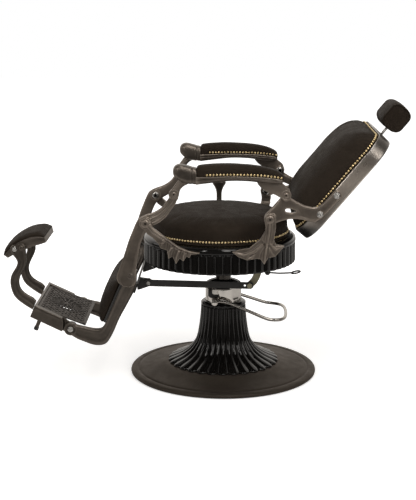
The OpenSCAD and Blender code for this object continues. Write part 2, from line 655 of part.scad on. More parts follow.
// ---------------------------------------------------------------- footrest
gw = grille_w;
module foot_frame() {
  color(iron) difference() {
    union() {
      for (s = [0, 1]) mirror([s, 0, 0]) {
        side(gw, gw + 25) polygon([[-693, 250], [-675, 292], [-667, 288], [-577, 246], [-574, 236],
          [-574, 205], [-580, 196]]);
        side(gw, gw + 9) polygon([[-600, 250], [-577, 246], [-552, 228], [-540, 190], [-560, 188],
          [-600, 204]]);
        xcyl(H0, 22, gw, gw + 9);
      }
      side(-gw - 1, gw + 1) polygon([[-693, 250], [-675, 292], [-667, 288.6], [-685, 246.6]]);
    }
    xcyl(H0, pin_r + run, gw - 5, gw + 12);
    xcyl(H0, pin_r + run, -gw - 12, -gw + 5);
    for (s = [-1, 1]) translate([s * 168, -660, 236]) rotate([67 - 90, 0, 0]) translate([0, 0, -28])
      cylinder(r = 7, h = 30);
  }
}
module in_plate() {
  translate([0, -667, 288.6]) rotate([-20.5, 0, 0]) children();
}
module ring(r0, r1) {
  difference() {
    circle(r = r1);
    circle(r = r0);
  }
}
module foot_grille() {
  L = 186;
  color(iron) in_plate() translate([0, 0, -12]) linear_extrude(6) {
    difference() {
      translate([-gw, 0]) square([2 * gw, L]);
      translate([-gw + 11, 11]) square([2 * gw - 22, L - 22]);
    }
    difference() {
      intersection() {
        translate([-gw + 6, 6]) square([2 * gw - 12, L - 12]);
        union() {
          for (i = [-10 : 10]) translate([i * 24, L / 2]) rotate(45) square([5, 400], center = true);
          for (i = [-10 : 10]) translate([i * 24, L / 2]) rotate(-45) square([5, 400], center = true);
          for (s = [-1, 1]) translate([s * 96, L / 2]) square([5, L], center = true);
        }
      }
      translate([0, L / 2]) circle(r = 62);
    }
    translate([0, L / 2]) {
      ring(60, 66);
      ring(27, 32);
      circle(r = 11);
      for (a = [0 : 18 : 342]) rotate(a) translate([29, -2]) square([34, 4]);
      for (a = [0 : 45 : 315]) rotate(a + 9) translate([8, -3]) square([21, 6]);
    }
  }
}
module foot_stops() {
  color(chrome) for (s = [-1, 1]) translate([s * 168, -660, 236]) rotate([67 - 90, 0, 0]) {
    translate([0, 0, -28]) cylinder(r = 7, h = 30);
    translate([0, 0, -40]) cylinder(r = 8.5, h = 14);
  }
}
arm_s = [[[-691.2, 254.2], [-676.8, 287.8]], [[-712, 269], [-691, 304]], [[-732, 283], [-707, 313]],
  [[-748, 296], [-720, 322]], [[-760, 311], [-730, 332]], [[-767, 328], [-736, 343]],
  [[-771, 346], [-739, 355]], [[-772, 364], [-739, 368]], [[-768, 385], [-735, 383]],
  [[-758, 404], [-727, 400]], [[-748, 420], [-719, 416]], [[-744, 436], [-712, 436]],
  [[-752, 452], [-712, 456]], [[-765, 470], [-712, 478]], [[-768, 488], [-714, 496]],
  [[-760, 498], [-722, 504]]];
ax0 = foot_pad_w + 0.5;
pad_bolt_at = [[-752, 484], [-728, 489]];
module foot_arms() {
  color(iron) for (s = [0, 1]) mirror([s, 0, 0]) difference() {
    loft([for (p = arm_s) [p[0], p[1], ax0 + 7.5, 15]], soft_sec);
    for (p = pad_bolt_at) xcyl(p, 4, ax0 - 10, ax0 + 30);
  }
}
module foot_bolts() {
  color(chrome) for (s = [0, 1]) mirror([s, 0, 0]) for (p = pad_bolt_at) {
    xcyl(p, 4, ax0 - 14, ax0 + 16);
    translate([ax0 + 15, p[0], p[1]]) rotate([0, 90, 0]) cylinder(r1 = 8, r2 = 5, h = 4);
  }
}
pad_t = [[-794, 458], [-776, 479], [-752, 499], [-726, 514], [-698, 524], [-670, 528], [-645, 526]];
pad_b = [[-780, 448], [-762, 458], [-742, 468], [-718, 479], [-692, 490], [-664, 498], [-640, 506]];
module foot_pad_shell() {
  color(iron) difference() {
    side(-ax0, ax0) polygon(concat(pad_t, [for (i = [6 : -1 : 0]) pad_b[i]]));
    for (p = pad_bolt_at) {
      xcyl(p, 4, ax0 - 14, ax0 + 5);
      xcyl(p, 4, -ax0 - 5, -ax0 + 14);
    }
  }
}
module foot_pad() {
  W = foot_pad_w;
  top = [for (i = [0 : 6]) let (a = pad_t[max(i - 1, 0)], b = pad_t[min(i + 1, 6)],
    n = unit([a[1] - b[1], b[0] - a[0]])) n];
  X = [[-W, 0.35], [-W + 3, 0.75], [-W + 12, 0.95], [-W / 2, 1], [0, 1.05], [W / 2, 1], [W - 12, 0.95],
    [W - 3, 0.75], [W, 0.35]];
  e = [0.35, 0.85, 1, 1, 1, 0.85, 0.35];
  P = [for (q = X) each concat([for (i = [0 : 6]) [q[0], pad_t[i][0], pad_t[i][1]]],
    [for (i = [6 : -1 : 0]) [q[0], pad_t[i][0] + top[i][0] * 14 * e[i] * q[1],
    pad_t[i][1] + top[i][1] * 14 * e[i] * q[1]]])];
  color(leather) skin(P, 14, 9, true, true);
}

// ---------------------------------------------------------------- armrests
ac = lever_x + 5;
module armrest() {
  color(iron) difference() {
    union() {
      loft([[[-167, 787], [-167, 806], ac, 40], [[-163, 777], [-163, 818], ac, 50],
        [[-154, 767], [-154, 825], ac, 56], [[-138, 757], [-138, 824], ac, 58],
        [[-116, 752], [-116, 819], ac, 58], [[-92, 751], [-92, 813], ac, 58],
        [[-90.5, 751], [-90.5, 778], ac, 58], [[-48, 757], [-48, 779], ac, 58],
        [[24, 765], [24, 781], ac, 58], [[88, 764], [88, 780], ac, 58], [[130, 759], [130, 778], ac, 58],
        [[180, 754], [180, 773], ac, 58], [[204, 756], [204, 768], ac, 54]], soft_sec);
      side(outer_x, outer_x + strap_t) polygon([[-186, 717], [-184, 706], [-176, 700], [-160, 700],
        [-151, 710], [-147, 732], [-136, 745], [-112, 757], [-112, 770], [-150, 770], [-168, 745],
        [-179, 728]]);
      xcyl(F1, 18, outer_x, outer_x + strap_t);
      side(outer_x, outer_x + strap_t) polygon([[112, 768], [119, 752], [133, 737], [152, 725],
        [176, 718], [200, 704], [215, 698], [229, 706], [233, 718], [226, 738], [208, 752], [190, 768]]);
      xcyl(R1, 18, outer_x, outer_x + strap_t);
    }
    xcyl(F1, pin_r, outer_x - 9, outer_x + 21);
    xcyl(R1, pin_r, outer_x - 9, outer_x + 21);
  }
}
module armrest_left() {
  armrest();
}
module armrest_right() {
  mirrored() armrest();
}
module arm_pin(p) {
  xcyl(p, pin_r, lever_x - 10, outer_x + strap_t);
  translate([outer_x + strap_t, p[0], p[1]]) rotate([0, 90, 0]) cylinder(r1 = 9, r2 = 5, h = 3);
  translate([lever_x - 10, p[0], p[1]]) rotate([0, 90, 0]) cylinder(r = 10, h = 6.5, $fn = 6);
}
module arm_pins() {
  color(chrome) for (s = [0, 1]) mirror([s, 0, 0]) {
    arm_pin(F1);
    arm_pin(R1);
  }
}
pad_line = [[-90, 778.2], [-48, 779.2], [24, 781.2], [88, 780.2], [130, 778.2], [180, 773.2], [204, 768.2]];
arm_sections = [[-90.3, 779, 817, 27], [-84, 779, 825, 29.5], [-60, 779.5, 830, 30],
  [-20, 780.6, 833, 30], [24, 781.6, 833, 30], [88, 780.6, 829, 30], [130, 778.8, 823, 30],
  [170, 774.6, 812, 30], [192, 771.4, 801, 29], [201, 769.6, 792, 27], [205, 769, 782, 24]];
module arm_pad() {
  q = [[-0.93, 0], [0.93, 0], [1, 0.12], [1.02, 0.4], [0.97, 0.7], [0.8, 0.9], [0.45, 1], [-0.45, 1],
    [-0.8, 0.9], [-0.97, 0.7], [-1.02, 0.4], [-1, 0.12]];
  P = [for (s = arm_sections) for (k = q) [ac + k[0] * s[3], s[0], s[1] + (s[2] - s[1]) * k[1]]];
  color(leather) skin(P, len(q), len(arm_sections), false);
}
module arm_pad_left() {
  arm_pad();
}
module arm_pad_right() {
  mirrored() arm_pad();
}
module arm_nails() {
  n = 22;
  color(brass) for (s = [0, 1]) mirror([s, 0, 0]) for (i = [0 : n]) {
    y = -55 + i * 253 / n;
    w = [for (t = [-3, 0, 3]) lookup(y + t, [for (q = arm_sections) [q[0], q[3]]])];
    a = atan((w[2] - w[0]) / 6);
    for (m = [-1, 1]) translate([ac + m * (w[1] * 1.012 + 0.5), y, lookup(y, pad_line) + 6.5])
      rotate([0, 0, -m * a]) rotate([0, m * 90, 0]) nailhead();
  }
}

// ---------------------------------------------------------------- drag links
module link_bars() {
  a = atan2(B1[1] - B0[1], B1[0] - B0[0]);
  L = norm(B1 - B0);
  color(black) for (s = [0, 1]) mirror([s, 0, 0]) difference() {
    translate([145, B0[0], B0[1]]) rotate([a, 0, 0]) side(0, 6)
      polygon([[-14, -6], [-8, -12], [L + 6, -12], [L + 13, -6], [L + 13, 8], [L + 8, 12], [-4, 12],
        [-14, 4]]);
    xcyl(B0, 5 + run, 140, 160);
    xcyl(B1, 5 + play_link, 140, 160);
    xcyl(B1 - [17, 0], 4, 140, 160);
  }
}
module link_pins() {
  color(chrome) for (s = [0, 1]) mirror([s, 0, 0]) {
    xcyl(B0, 5, 130, 154);
    translate([151.5, B0[0], B0[1]]) rotate([0, 90, 0]) cylinder(r = 8, h = 4, $fn = 6);
  }
}
module rockers() {
  color(olive) for (s = [0, 1]) mirror([s, 0, 0]) {
    difference() {
      union() {
        side(136, 144) polygon([[90, 374], [100, 384], [107, 397], [113, 415], [121, 450], [133, 502],
          [157, 502], [144, 445], [137, 408], [131, 388], [121, 370], [104, 352]]);
        xcyl(B1, 13, 136, 144);
        xcyl(Q0, 12, 136, 144);
      }
      xcyl(Q0, 5 + run, 130, 150);
    }
    xcyl(B1, 5, 136, 154);
    translate([152, B1[0], B1[1]]) rotate([0, 90, 0]) cylinder(r = 10, h = 4, $fn = 6);
  }
}

sole_plate();
base_disc();
pedestal();
pump_housing();
column_cap();
lever_pins();
stop_strap();
pump_lever();
piston();
seat_spider();
seat_pan();
seat_rim();
seat_skirt();
seat_board();
seat_cushion();
seat_nails();
front_bracket_left();
front_bracket_right();
rear_bracket_left();
rear_bracket_right();
seat_pivot_pins();
rocker_hangers();
lever_block();
rod_bracket();
recline_lever();
release_rod();
back_bracket_left();
back_bracket_right();
back_shell();
back_panel();
back_cushion();
back_nails();
back_bolts();
headrest_socket();
headrest_post();
headrest_pad();
leg_lever_left();
leg_lever_right();
leg_frame_left();
leg_frame_right();
leg_bolts();
calf_board();
calf_pad();
leg_cross_bar();
foot_frame();
foot_grille();
foot_stops();
foot_arms();
foot_bolts();
foot_pad_shell();
foot_pad();
armrest_left();
armrest_right();
arm_pins();
arm_pad_left();
arm_pad_right();
arm_nails();
link_bars();
link_pins();
rockers();
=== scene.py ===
import math

import bmesh
import bpy
import numpy as np
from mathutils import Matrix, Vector, noise


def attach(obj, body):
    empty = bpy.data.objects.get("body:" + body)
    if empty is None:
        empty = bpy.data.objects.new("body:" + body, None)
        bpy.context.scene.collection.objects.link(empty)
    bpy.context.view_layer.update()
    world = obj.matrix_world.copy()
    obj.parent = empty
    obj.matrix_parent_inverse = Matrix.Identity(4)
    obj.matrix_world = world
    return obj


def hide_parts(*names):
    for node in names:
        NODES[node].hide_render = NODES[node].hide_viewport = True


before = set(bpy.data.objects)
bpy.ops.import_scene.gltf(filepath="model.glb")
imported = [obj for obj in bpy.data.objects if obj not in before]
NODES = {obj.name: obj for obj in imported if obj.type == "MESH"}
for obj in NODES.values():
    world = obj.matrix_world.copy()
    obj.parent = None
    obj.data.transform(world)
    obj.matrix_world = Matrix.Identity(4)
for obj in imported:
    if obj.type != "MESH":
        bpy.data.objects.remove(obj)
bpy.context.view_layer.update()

MM = 0.001

# ------------------------------------------------------------------ shader nodes


def rgb(r, g, b):
    return (r, g, b, 1.0)


def scaled(colour, k):
    return tuple(c * k for c in colour)


def put(node, socket, value):
    """Sets a socket to a value, or links it to another node's output."""
    if isinstance(value, bpy.types.NodeSocket):
        node.id_data.links.new(value, node.inputs[socket])
    else:
        node.inputs[socket].default_value = value


def add(tree, kind, *inputs, operation=None, **sockets):
    """A shader node, its sockets given in their order or by name."""
    node = tree.nodes.new("ShaderNode" + kind)
    if operation:
        node.operation = operation
    for socket, value in enumerate(inputs):
        put(node, socket, value)
    for socket, value in sockets.items():
        put(node, socket.replace("_", " "), value)
    return node


def noisy(tree, at, scale, detail=2.0, rough=0.5, out="Fac", **more):
    return add(tree, "TexNoise", Vector=at, Scale=scale, Detail=detail, Roughness=rough, **more).outputs[out]


def ramp(tree, fac, stops):
    """Ramp through stops [(position, colour or grey)]."""
    node = add(tree, "ValToRGB", fac)
    e = node.color_ramp.elements
    while len(e) < len(stops):
        e.new(0.5)
    for k, (position, c) in enumerate(stops):
        e[k].position = position
        e[k].color = rgb(*c) if isinstance(c, tuple) else rgb(c, c, c)
    return node.outputs["Color"]


def product(tree, a, b, kind="VectorMath"):
    return add(tree, kind, a, b, operation="MULTIPLY").outputs[0]


def bumps(shader, *layers):
    """Bumps (height, strength, distance) one on another, into the shader's normal."""
    normal = None
    for height, strength, distance in layers:
        bump = add(shader.id_data, "Bump", Height=height, Strength=strength, Distance=distance)
        if normal:
            put(bump, "Normal", normal)
        normal = bump.outputs["Normal"]
    put(shader, "Normal", normal)


def new_material(name, base, rough, metal=0.0, spec=0.5):
    """A material, its shader, its node tree and the object's coordinates."""
    m = bpy.data.materials.new(name)
    m.use_nodes = True
    shader = m.node_tree.nodes["Principled BSDF"]
    put(shader, "Base Color", rgb(*base))
    put(shader, "Roughness", rough)
    put(shader, "Metallic", metal)
    put(shader, "Specular IOR Level", spec)
    return m, shader, m.node_tree, add(m.node_tree, "TexCoord").outputs["Object"]


def worn(shader, at, colours, scale, edge, rough, rough_scale=40.0, painted_light=None):
    """Colour drift (base, dark, light), raised edges brightened as wear and as a painted highlight, painted
    shade in hollows, and uneven gloss.

    The last argument gives stops (height in m, share of colour) of light and shade painted by height. The
    result is the noise of the gloss, for a bump.
    """
    t = shader.id_data
    base, dark, light = colours
    drift = ramp(t, noisy(t, at, scale, 6.0, 0.6), [(0.3, dark), (0.52, base), (0.75, light)])
    pointed = add(t, "NewGeometry").outputs["Pointiness"]
    # raised edges brightened: partly wear, partly a painted highlight
    edge_wear_and_highlight = product(t, ramp(t, pointed, [(0.5, 0.0), (0.62, 1.0)]), edge, "Math")
    # painted shade: darker where the pointiness marks a hollow
    drift_and_painted_shade = product(t, drift, ramp(t, pointed, [(0.40, 0.35), (0.495, 1.0)]))
    # light and shade painted by height
    if painted_light:
        height = add(t, "SeparateXYZ", at).outputs["Z"]
        drift_and_painted_shade = product(t, drift_and_painted_shade, ramp(t, height, painted_light))
    mix = add(t, "Mix")
    mix.data_type = "RGBA"
    put(mix, "Factor", edge_wear_and_highlight)
    colour_a, colour_b = [k for k, s in enumerate(mix.inputs) if s.type == "RGBA"]
    put(mix, colour_a, drift_and_painted_shade)
    put(mix, colour_b, rgb(*(min(1, c * 2.2 + 0.02) for c in base)))
    put(shader, "Base Color", next(s for s in mix.outputs if s.type == "RGBA"))
    uneven = noisy(t, at, rough_scale, 5.0, 0.65)
    put(shader, "Roughness", ramp(t, uneven, [(0.3, rough[0]), (0.7, rough[1])]))
    return uneven


# ------------------------------------------------------------------ materials


def finish(name, colours, gloss, wear, grit, relief, tint=None):
    """A casting: gloss (roughness, metallic, specular), wear for worn(), fine grit and two bumps."""
    m, shader, t, at = new_material(name, colours[0], *gloss)
    if tint:
        put(shader, "Specular Tint", rgb(*tint))
    uneven = worn(shader, at, colours, *wear)
    (low, low_depth), (high, high_depth) = relief
    bumps(shader, (uneven, low, low_depth), (noisy(t, at, *grit), high, high_depth))
    return m


def make_bronze(name, gain, painted_light=None, metal=0.75, rough=(0.28, 0.42)):
    base = scaled((0.130, 0.110, 0.092), gain)
    return finish(name, (base, scaled(base, 0.65), scaled(base, 1.32)), (0.4, metal),
                  (14.0, 0.8, rough, 40.0, painted_light), (420.0, 4.0, 0.6), ((0.18, 0.0012), (0.22, 0.0004)))


def make_enamel():
    colours = (0.0040, 0.0036, 0.0033), (0.0028, 0.0025, 0.0023), (0.0065, 0.0058, 0.0053)
    return finish("black_enamel", colours, (0.10, 0.0, 0.35), (10.0, 0.05, (0.05, 0.12), 18.0),
                  (160.0,), ((0.08, 0.002), (0.10, 0.0006)))


def make_base_iron():
    colours = (0.031, 0.0255, 0.0205), (0.023, 0.019, 0.0155), (0.041, 0.034, 0.0275)
    return finish("oiled_base_iron", colours, (0.5, 0.2, 0.15), (7.0, 0.4, (0.42, 0.56), 25.0),
                  (520.0, 3.0), ((0.12, 0.002), (0.2, 0.0004)), tint=(1.0, 0.84, 0.70))


def make_plain(name, base, rough, metal):
    return finish(name, (base, scaled(base, 0.7), scaled(base, 1.3)), (rough, metal),
                  (20.0, 0.4, (rough - 0.07, rough + 0.07)), (300.0, 4.0), ((0.15, 0.001), (0.2, 0.0004)))


# light and shade painted by height, as stops (height in m, share of colour)
BAND_PAINTED_LIGHT = [(0.59, 0.05), (0.63, 0.50), (0.69, 0.85), (0.75, 1.0), (0.79, 0.85), (0.83, 0.42), (0.89, 0.2)]
BRONZE_PAINTED_LIGHT = [(0.36, 0.60), (0.50, 0.78), (0.58, 0.95), (0.72, 0.95), (0.765, 0.42), (1.0, 0.40)]


def make_brushed():
    """Steel band brushed along the back, with a highlight painted at mid height and painted shade towards
    its lower and upper ends.
    """
    m, shader, t, at = new_material("brushed_bronze_band", (0.12, 0.095, 0.08), 0.36, 0.85)
    worn(shader, at, ((0.66, 0.585, 0.51), (0.50, 0.44, 0.385), (0.78, 0.69, 0.60)), 9.0, 0.4, (0.26, 0.36),
         painted_light=BAND_PAINTED_LIGHT)
    along_band = add(t, "Mapping", at, Rotation=(math.radians(-50), 0, 0)).outputs[0]
    stretched = add(t, "Mapping", along_band, Scale=(420, 7, 420)).outputs[0]
    bumps(shader, (noisy(t, stretched, 1.0, 3.0, 0.7), 0.4, 0.0004))
    return m


def make_chrome(name, base, rough):
    m, shader, t, at = new_material(name, base, 0.08, 1.0)
    smears = noisy(t, at, 30.0, 6.0, 0.7)
    put(shader, "Roughness", ramp(t, smears, [(0.35, rough[0]), (0.75, rough[1])]))
    put(shader, "Base Color", ramp(t, smears, [(0.3, scaled(base, 0.86)), (0.6, base)]))
    bumps(shader, (smears, 0.03, 0.001))
    return m


def make_leather():
    m, shader, t, at = new_material("black_leather", (0.018, 0.015, 0.013), 0.5, spec=0.3)
    put(shader, "IOR", 1.2)
    put(shader, "Specular Tint", rgb(1.0, 0.82, 0.66))
    tones = [(0.3, (0.0195, 0.0152, 0.0118)), (0.6, (0.026, 0.0203, 0.0157)), (0.85, (0.034, 0.0268, 0.021))]
    put(shader, "Base Color", ramp(t, noisy(t, at, 9.0, 5.0, 0.6), tones))
    warp = noisy(t, at, 60.0, 3.0, out="Color")
    warped = add(t, "VectorMath", warp, (0.004, 0.004, 0.004), at, operation="MULTIPLY_ADD").outputs[0]
    grain = add(t, "TexVoronoi")
    grain.feature = "DISTANCE_TO_EDGE"
    put(grain, "Vector", warped)
    put(grain, "Scale", 520.0)
    pores = ramp(t, grain.outputs["Distance"], [(0.0, 0.0), (0.16, 0.8), (0.4, 1.0)])
    crease = noisy(t, at, 26.0, 7.0, 0.62, Distortion=0.8)
    put(shader, "Roughness", ramp(t, crease, [(0.3, 0.52), (0.7, 0.68)]))
    bumps(shader, (crease, 0.10, 0.0016), (pores, 0.35, 0.0005))
    return m


def make_brass():
    m, shader, t, at = new_material("aged_brass", (0.60, 0.42, 0.19), 0.3, 0.9)
    colours = (0.80, 0.58, 0.29), (0.52, 0.36, 0.17), (0.92, 0.74, 0.44)
    worn(shader, at, colours, 60.0, 0.3, (0.2, 0.36), 120.0)
    return m


# each finish with the record's material slot
MAT, SLOT = {}, {}
for key, slot, m in (
        # a lit copy of the bronze, 1.6 times as bright, with light and shade painted by height
        ("bronze", "bronze_casting", make_bronze("antique_bronze_cast", 1.6, BRONZE_PAINTED_LIGHT)),
        # a shaded copy of the bronze for the lower castings, 0.64 times as bright
        ("low", "bronze_casting", make_bronze("lower_shaded_bronze", 0.64)),
        ("plate", "bronze_casting", make_bronze("footplate_bronze", 0.36, metal=0.4, rough=(0.42, 0.56))),
        # painted shade for the walls of the grille's openings: bronze at a tenth of its brightness, matt
        ("wall_shade", "bronze_casting", make_bronze("grille_wall_shade", 0.10, metal=0.0, rough=(0.7, 0.85))),
        ("band", "bronze_casting", make_brushed()),
        ("enamel", "black_enamel", make_enamel()),
        ("iron", "base_iron", make_base_iron()),
        ("chrome", "chrome", make_chrome("polished_chrome", (0.60, 0.575, 0.54), (0.05, 0.16))),
        ("steel", "chrome", make_chrome("satin_steel", (0.50, 0.49, 0.47), (0.22, 0.36))),
        # chrome darker than the polished chrome
        ("bail", "chrome", make_chrome("darker_chrome", (0.40, 0.38, 0.35), (0.10, 0.22))),
        ("leather", "leather", make_leather()),
        ("brass", "brass_nails", make_brass()),
        ("wood", "plywood", make_plain("plywood", (0.20, 0.13, 0.075), 0.7, 0.0)),
        ("zinc", "zinc_casting", make_plain("olive_zinc", (0.21, 0.195, 0.135), 0.42, 0.8)),
        ("black", "black_enamel", make_plain("black_steel", (0.009, 0.0083, 0.0078), 0.36, 0.1)),
        # dark steel for the ram: painted shade under the skirt
        ("ram", "chrome", make_plain("shaded_ram_steel", (0.055, 0.048, 0.042), 0.25, 0.8))):
    MAT[key], SLOT[key] = m, slot

# ------------------------------------------------------------------ forms: (vertices, faces) in mm


def angles(n):
    return [2 * math.pi * j / n for j in range(n)]


def circle(n):
    return [(math.cos(a), math.sin(a)) for a in angles(n)]


def joined(*forms):
    """One mesh of several closed forms."""
    V, F = [], []
    for v, f in forms:
        F += [tuple(i + len(V) for i in face) for face in f]
        V += [tuple(p) for p in v]
    return V, F


def flipped(form):
    """The form on the chair's other side."""
    return [(-x, y, z) for x, y, z in form[0]], [tuple(reversed(f)) for f in form[1]]


def both(*forms):
    """The forms on both sides of the chair."""
    one = joined(*forms)
    return joined(one, flipped(one))


def skin(rings, loop=False):
    """Closed surface through rings of equal length, which is capped or loops back on itself."""
    n, m = len(rings[0]), len(rings)
    V = [p for r in rings for p in r]
    F = [(i * n + j, i * n + (j + 1) % n, (i + 1) % m * n + (j + 1) % n, (i + 1) % m * n + j)
         for i in range(m if loop else m - 1) for j in range(n)]
    if not loop:
        for k, step in ((0, 1), (m - 1, -1)):
            V.append(tuple(sum(p[a] for p in rings[k]) / n for a in range(3)))
            F += [(len(V) - 1, *[k * n + (j + 1) % n, k * n + j][::step]) for j in range(n)]
    return V, F


def catmull(P, k):
    """Points of a smooth curve through P, k steps to a span. A point may have any number of numbers."""
    P = [np.array(p, float) for p in P]
    Q = [2 * P[0] - P[1]] + P + [2 * P[-1] - P[-2]]
    out = []
    for a, b, c, d in zip(Q, Q[1:], Q[2:], Q[3:]):
        for t in (s / k for s in range(k)):
            out.append(0.5 * (2 * b + (c - a) * t + (2 * a - 5 * b + 4 * c - d) * t * t
                              + (3 * b - a - 3 * c + d) * t ** 3))
    return out + [P[-1]]


def stations(rows, k):
    """Smooth stations (y, z, y, z, ...) through rows of two edge points and further numbers."""
    return catmull([(*a, *b, *rest) for a, b, *rest in rows], k)


def casting_ring(s, x, half, section):
    """Ring at a station, of a section [(share across, share of half the thickness)]."""
    return [(x + q * half, s[0] + (s[2] - s[0]) * t, s[1] + (s[3] - s[1]) * t) for t, q in section]


def there_and_back(lower, upper):
    """Closed section of two runs [(share across, height)], one on each face."""
    return [(t, -q) for t, q in lower] + [(1 - t, q) for t, q in upper]


def shrunk(ring, f):
    c = np.mean(ring, 0)
    return [tuple(c + (np.array(p) - c) * f) for p in ring]


def loft(rows, section, k, tip):
    """Casting through stations (edge, edge, x centre, thickness), with rounded end faces."""
    rings = [casting_ring(s, s[4], s[5] / 2, section) for s in stations(rows, k)]
    return skin([shrunk(rings[0], f) for f in tip] + rings + [shrunk(rings[-1], f) for f in reversed(tip)])


def tube(P, r, n, k=1):
    """Round bar along points, k steps to a span."""
    P = catmull(P, k)
    rings = []
    for i, p in enumerate(P):
        t = P[min(i + 1, len(P) - 1)] - P[max(i - 1, 0)]
        t /= np.linalg.norm(t)
        b = np.cross(t, (0, 0, 1))
        b /= np.linalg.norm(b)
        rings.append([tuple(p + r * (b * c + np.cross(t, b) * s)) for c, s in circle(n)])
    return skin(rings)


def lathe(profile, n=96, centre=(0, 0), wave=lambda a, r, z: 0):
    """Rings of a profile [(r, z)] turned round the Z axis. wave gives a change of radius."""
    rings = []
    for r, z in profile:
        radii = [(a, r + wave(a, r, z)) for a in angles(n)]
        rings.append([(centre[0] + q * math.cos(a), centre[1] + q * math.sin(a), z) for a, q in radii])
    return rings


def xlathe(p, profile, n=32):
    """Rings of a profile [(r, x)] turned round an axis along X through p = (y, z)."""
    return [[(x, p[0] + r * c, p[1] + r * s) for c, s in circle(n)] for r, x in profile]


def hexagon(p, r, x):
    """Ring of 36 points on a hexagon."""
    out = []
    for a in angles(36):
        k = r * math.cos(math.pi / 6) / math.cos(a % (math.pi / 3) - math.pi / 6)
        out.append((x, p[0] + k * math.cos(a), p[1] + k * math.sin(a)))
    return out


def button(p, r, x, h, socket):
    """Round-headed screw with a hexagon socket, its seat at x."""
    profile = [(0.86, -0.4 / h), (0.97, 0), (1, 0.18), (0.97, 0.36), (0.88, 0.6), (0.74, 0.8), (0.58, 0.94),
               (socket + 0.05, 1)]
    rings = xlathe(p, [(r * q, x + u * h) for q, u in profile], 36)
    return skin(rings + [hexagon(p, r * socket, x + h * 0.98), hexagon(p, r * socket, x + h * 0.35)])


def cross_button(p, r, x, h):
    """Low domed screw head with a cross recess, its seat at x."""
    profile = [(0.9, -0.4 / h), (1, 0), (1, 0.2), (0.95, 0.42), (0.84, 0.66), (0.66, 0.86), (0.42, 0.97),
               (0.18, 1)]
    V, F = skin(xlathe(p, [(r * q, x + u * h) for q, u in profile], 40))
    c, s = math.cos(math.radians(28)), math.sin(math.radians(28))
    out = []
    for vx, vy, vz in V:
        y, z = vy - p[0], vz - p[1]
        if vx > x + 0.5 * h and math.hypot(y, z) < r * 0.7:
            arms = (y * c + z * s, -y * s + z * c)
            vx -= 0.45 * h * max(math.exp(-(u / (r * 0.13)) ** 4) for u in arms)
        out.append((vx, vy, vz))
    return out, F


def nut(p, r, x0, x1):
    body = [(r * 0.9, x0), (r, x0 + 0.8), (r, x1 - 0.8), (r * 0.9, x1)]
    first, last = xlathe(p, [(r * 0.84, x0), (r * 0.84, x1)], 36)
    return skin([first] + [hexagon(p, q, x) for q, x in body] + [last])


def shaft(p, r, x0, x1, n=32):
    return skin(xlathe(p, [(r - 0.4, x0), (r, x0 + 0.4), (r, x1 - 0.4), (r - 0.4, x1)], n))


def washer(p, r0, r1, x, t):
    return skin(xlathe(p, [(r0, x), (r1 - 0.5, x), (r1, x + 0.3 * t), (r1, x + 0.7 * t), (r1 - 0.6, x + t),
                           (r0, x + t)], 36), loop=True)


def ring_boss(p, r, hole, x0, x1):
    """Turned boss with a bore, a raised rim and eased edges."""
    outside = [(r - 1.6, x0), (r - 0.4, x0 + 0.5), (r, x0 + 1.6),
               (r, x1 - 1.6), (r - 0.4, x1 - 0.5), (r - 1.6, x1)]
    face = [(r - 4.4, x1), (r - 5.4, x1 - 0.8), (hole + 2.4, x1 - 0.8), (hole + 1.4, x1), (hole + 0.5, x1)]
    bore = [(hole, x0 + 0.4), (hole + 0.5, x0)]
    return skin(xlathe(p, bore + outside + face + [(hole, x1 - 0.4)], 56), loop=True)


def domes(points, r, h, n=10):
    """Nailheads [(centre, outward direction)]."""
    forms = []
    for c, d in points:
        c, d = Vector(c), Vector(d).normalized()
        u = d.orthogonal().normalized()
        v = d.cross(u)
        profile = ((0.94, -0.5), (1.0, 0.05), (0.93, 0.45 * h), (0.7, 0.78 * h), (0.36, 0.97 * h))
        forms.append(skin([[tuple(c + (u * a + v * b) * r * q + d * up) for a, b in circle(n)]
                           for q, up in profile]))
    return joined(*forms)


def plate(outline, x0, x1, e=0.8):
    """Flat piece across X with eased edges, its outline in (Y, Z) closed."""
    P = [np.array(p, float) for p in outline]
    n = len(P)
    inward = 1 if sum(P[i - 1][0] * P[i][1] - P[i][0] * P[i - 1][1] for i in range(n)) > 0 else -1

    def inset(d):
        out = []
        for i, p in enumerate(P):
            u, v = (w / (np.linalg.norm(w) or 1) for w in (p - P[i - 1], P[(i + 1) % n] - p))
            t = (u + v) / (np.linalg.norm(u + v) or 1)
            mitre = min(1.6, 1 / max(0.5, abs(t @ u)))
            out.append(tuple(p + inward * np.array([-t[1], t[0]]) * d * mitre))
        return out
    steps = ((x0, e), (x0 + 0.3 * e, 0.3 * e), (x0 + e, 0), (x1 - e, 0), (x1 - 0.3 * e, 0.3 * e), (x1, e))
    V, F = skin([[(x, *q) for q in inset(d)] for x, d in steps])
    F = F[:5 * n] + [tuple(range(n - 1, -1, -1)), tuple(range(5 * n, 6 * n))]
    return V[:-2], F


def rounded_rectangle(w, h, r, n):
    """n even points round a rounded rectangle of half sizes w and h, from the middle of its +X side."""
    straight = [2 * (h - r), 2 * (w - r)]
    quarter = math.pi * r / 2
    per = 2 * sum(straight) + 4 * quarter
    out = []
    for i in range(n):
        s = (i / n * per + straight[0] / 2) % per
        for k, (cx, cy) in enumerate(((w - r, h - r), (r - w, h - r), (r - w, r - h), (w - r, r - h))):
            c, q = math.cos(k * math.pi / 2), math.sin(k * math.pi / 2)
            left = straight[k % 2] - s
            if left > 0:
                out.append((cx + c * r + q * left, cy + q * r - c * left))
                break
            if -left < quarter:
                a = k * math.pi / 2 - left / r
                out.append((cx + r * math.cos(a), cy + r * math.sin(a)))
                break
            s = -left - quarter
        else:
            out.append((w, 0.0))
    return out


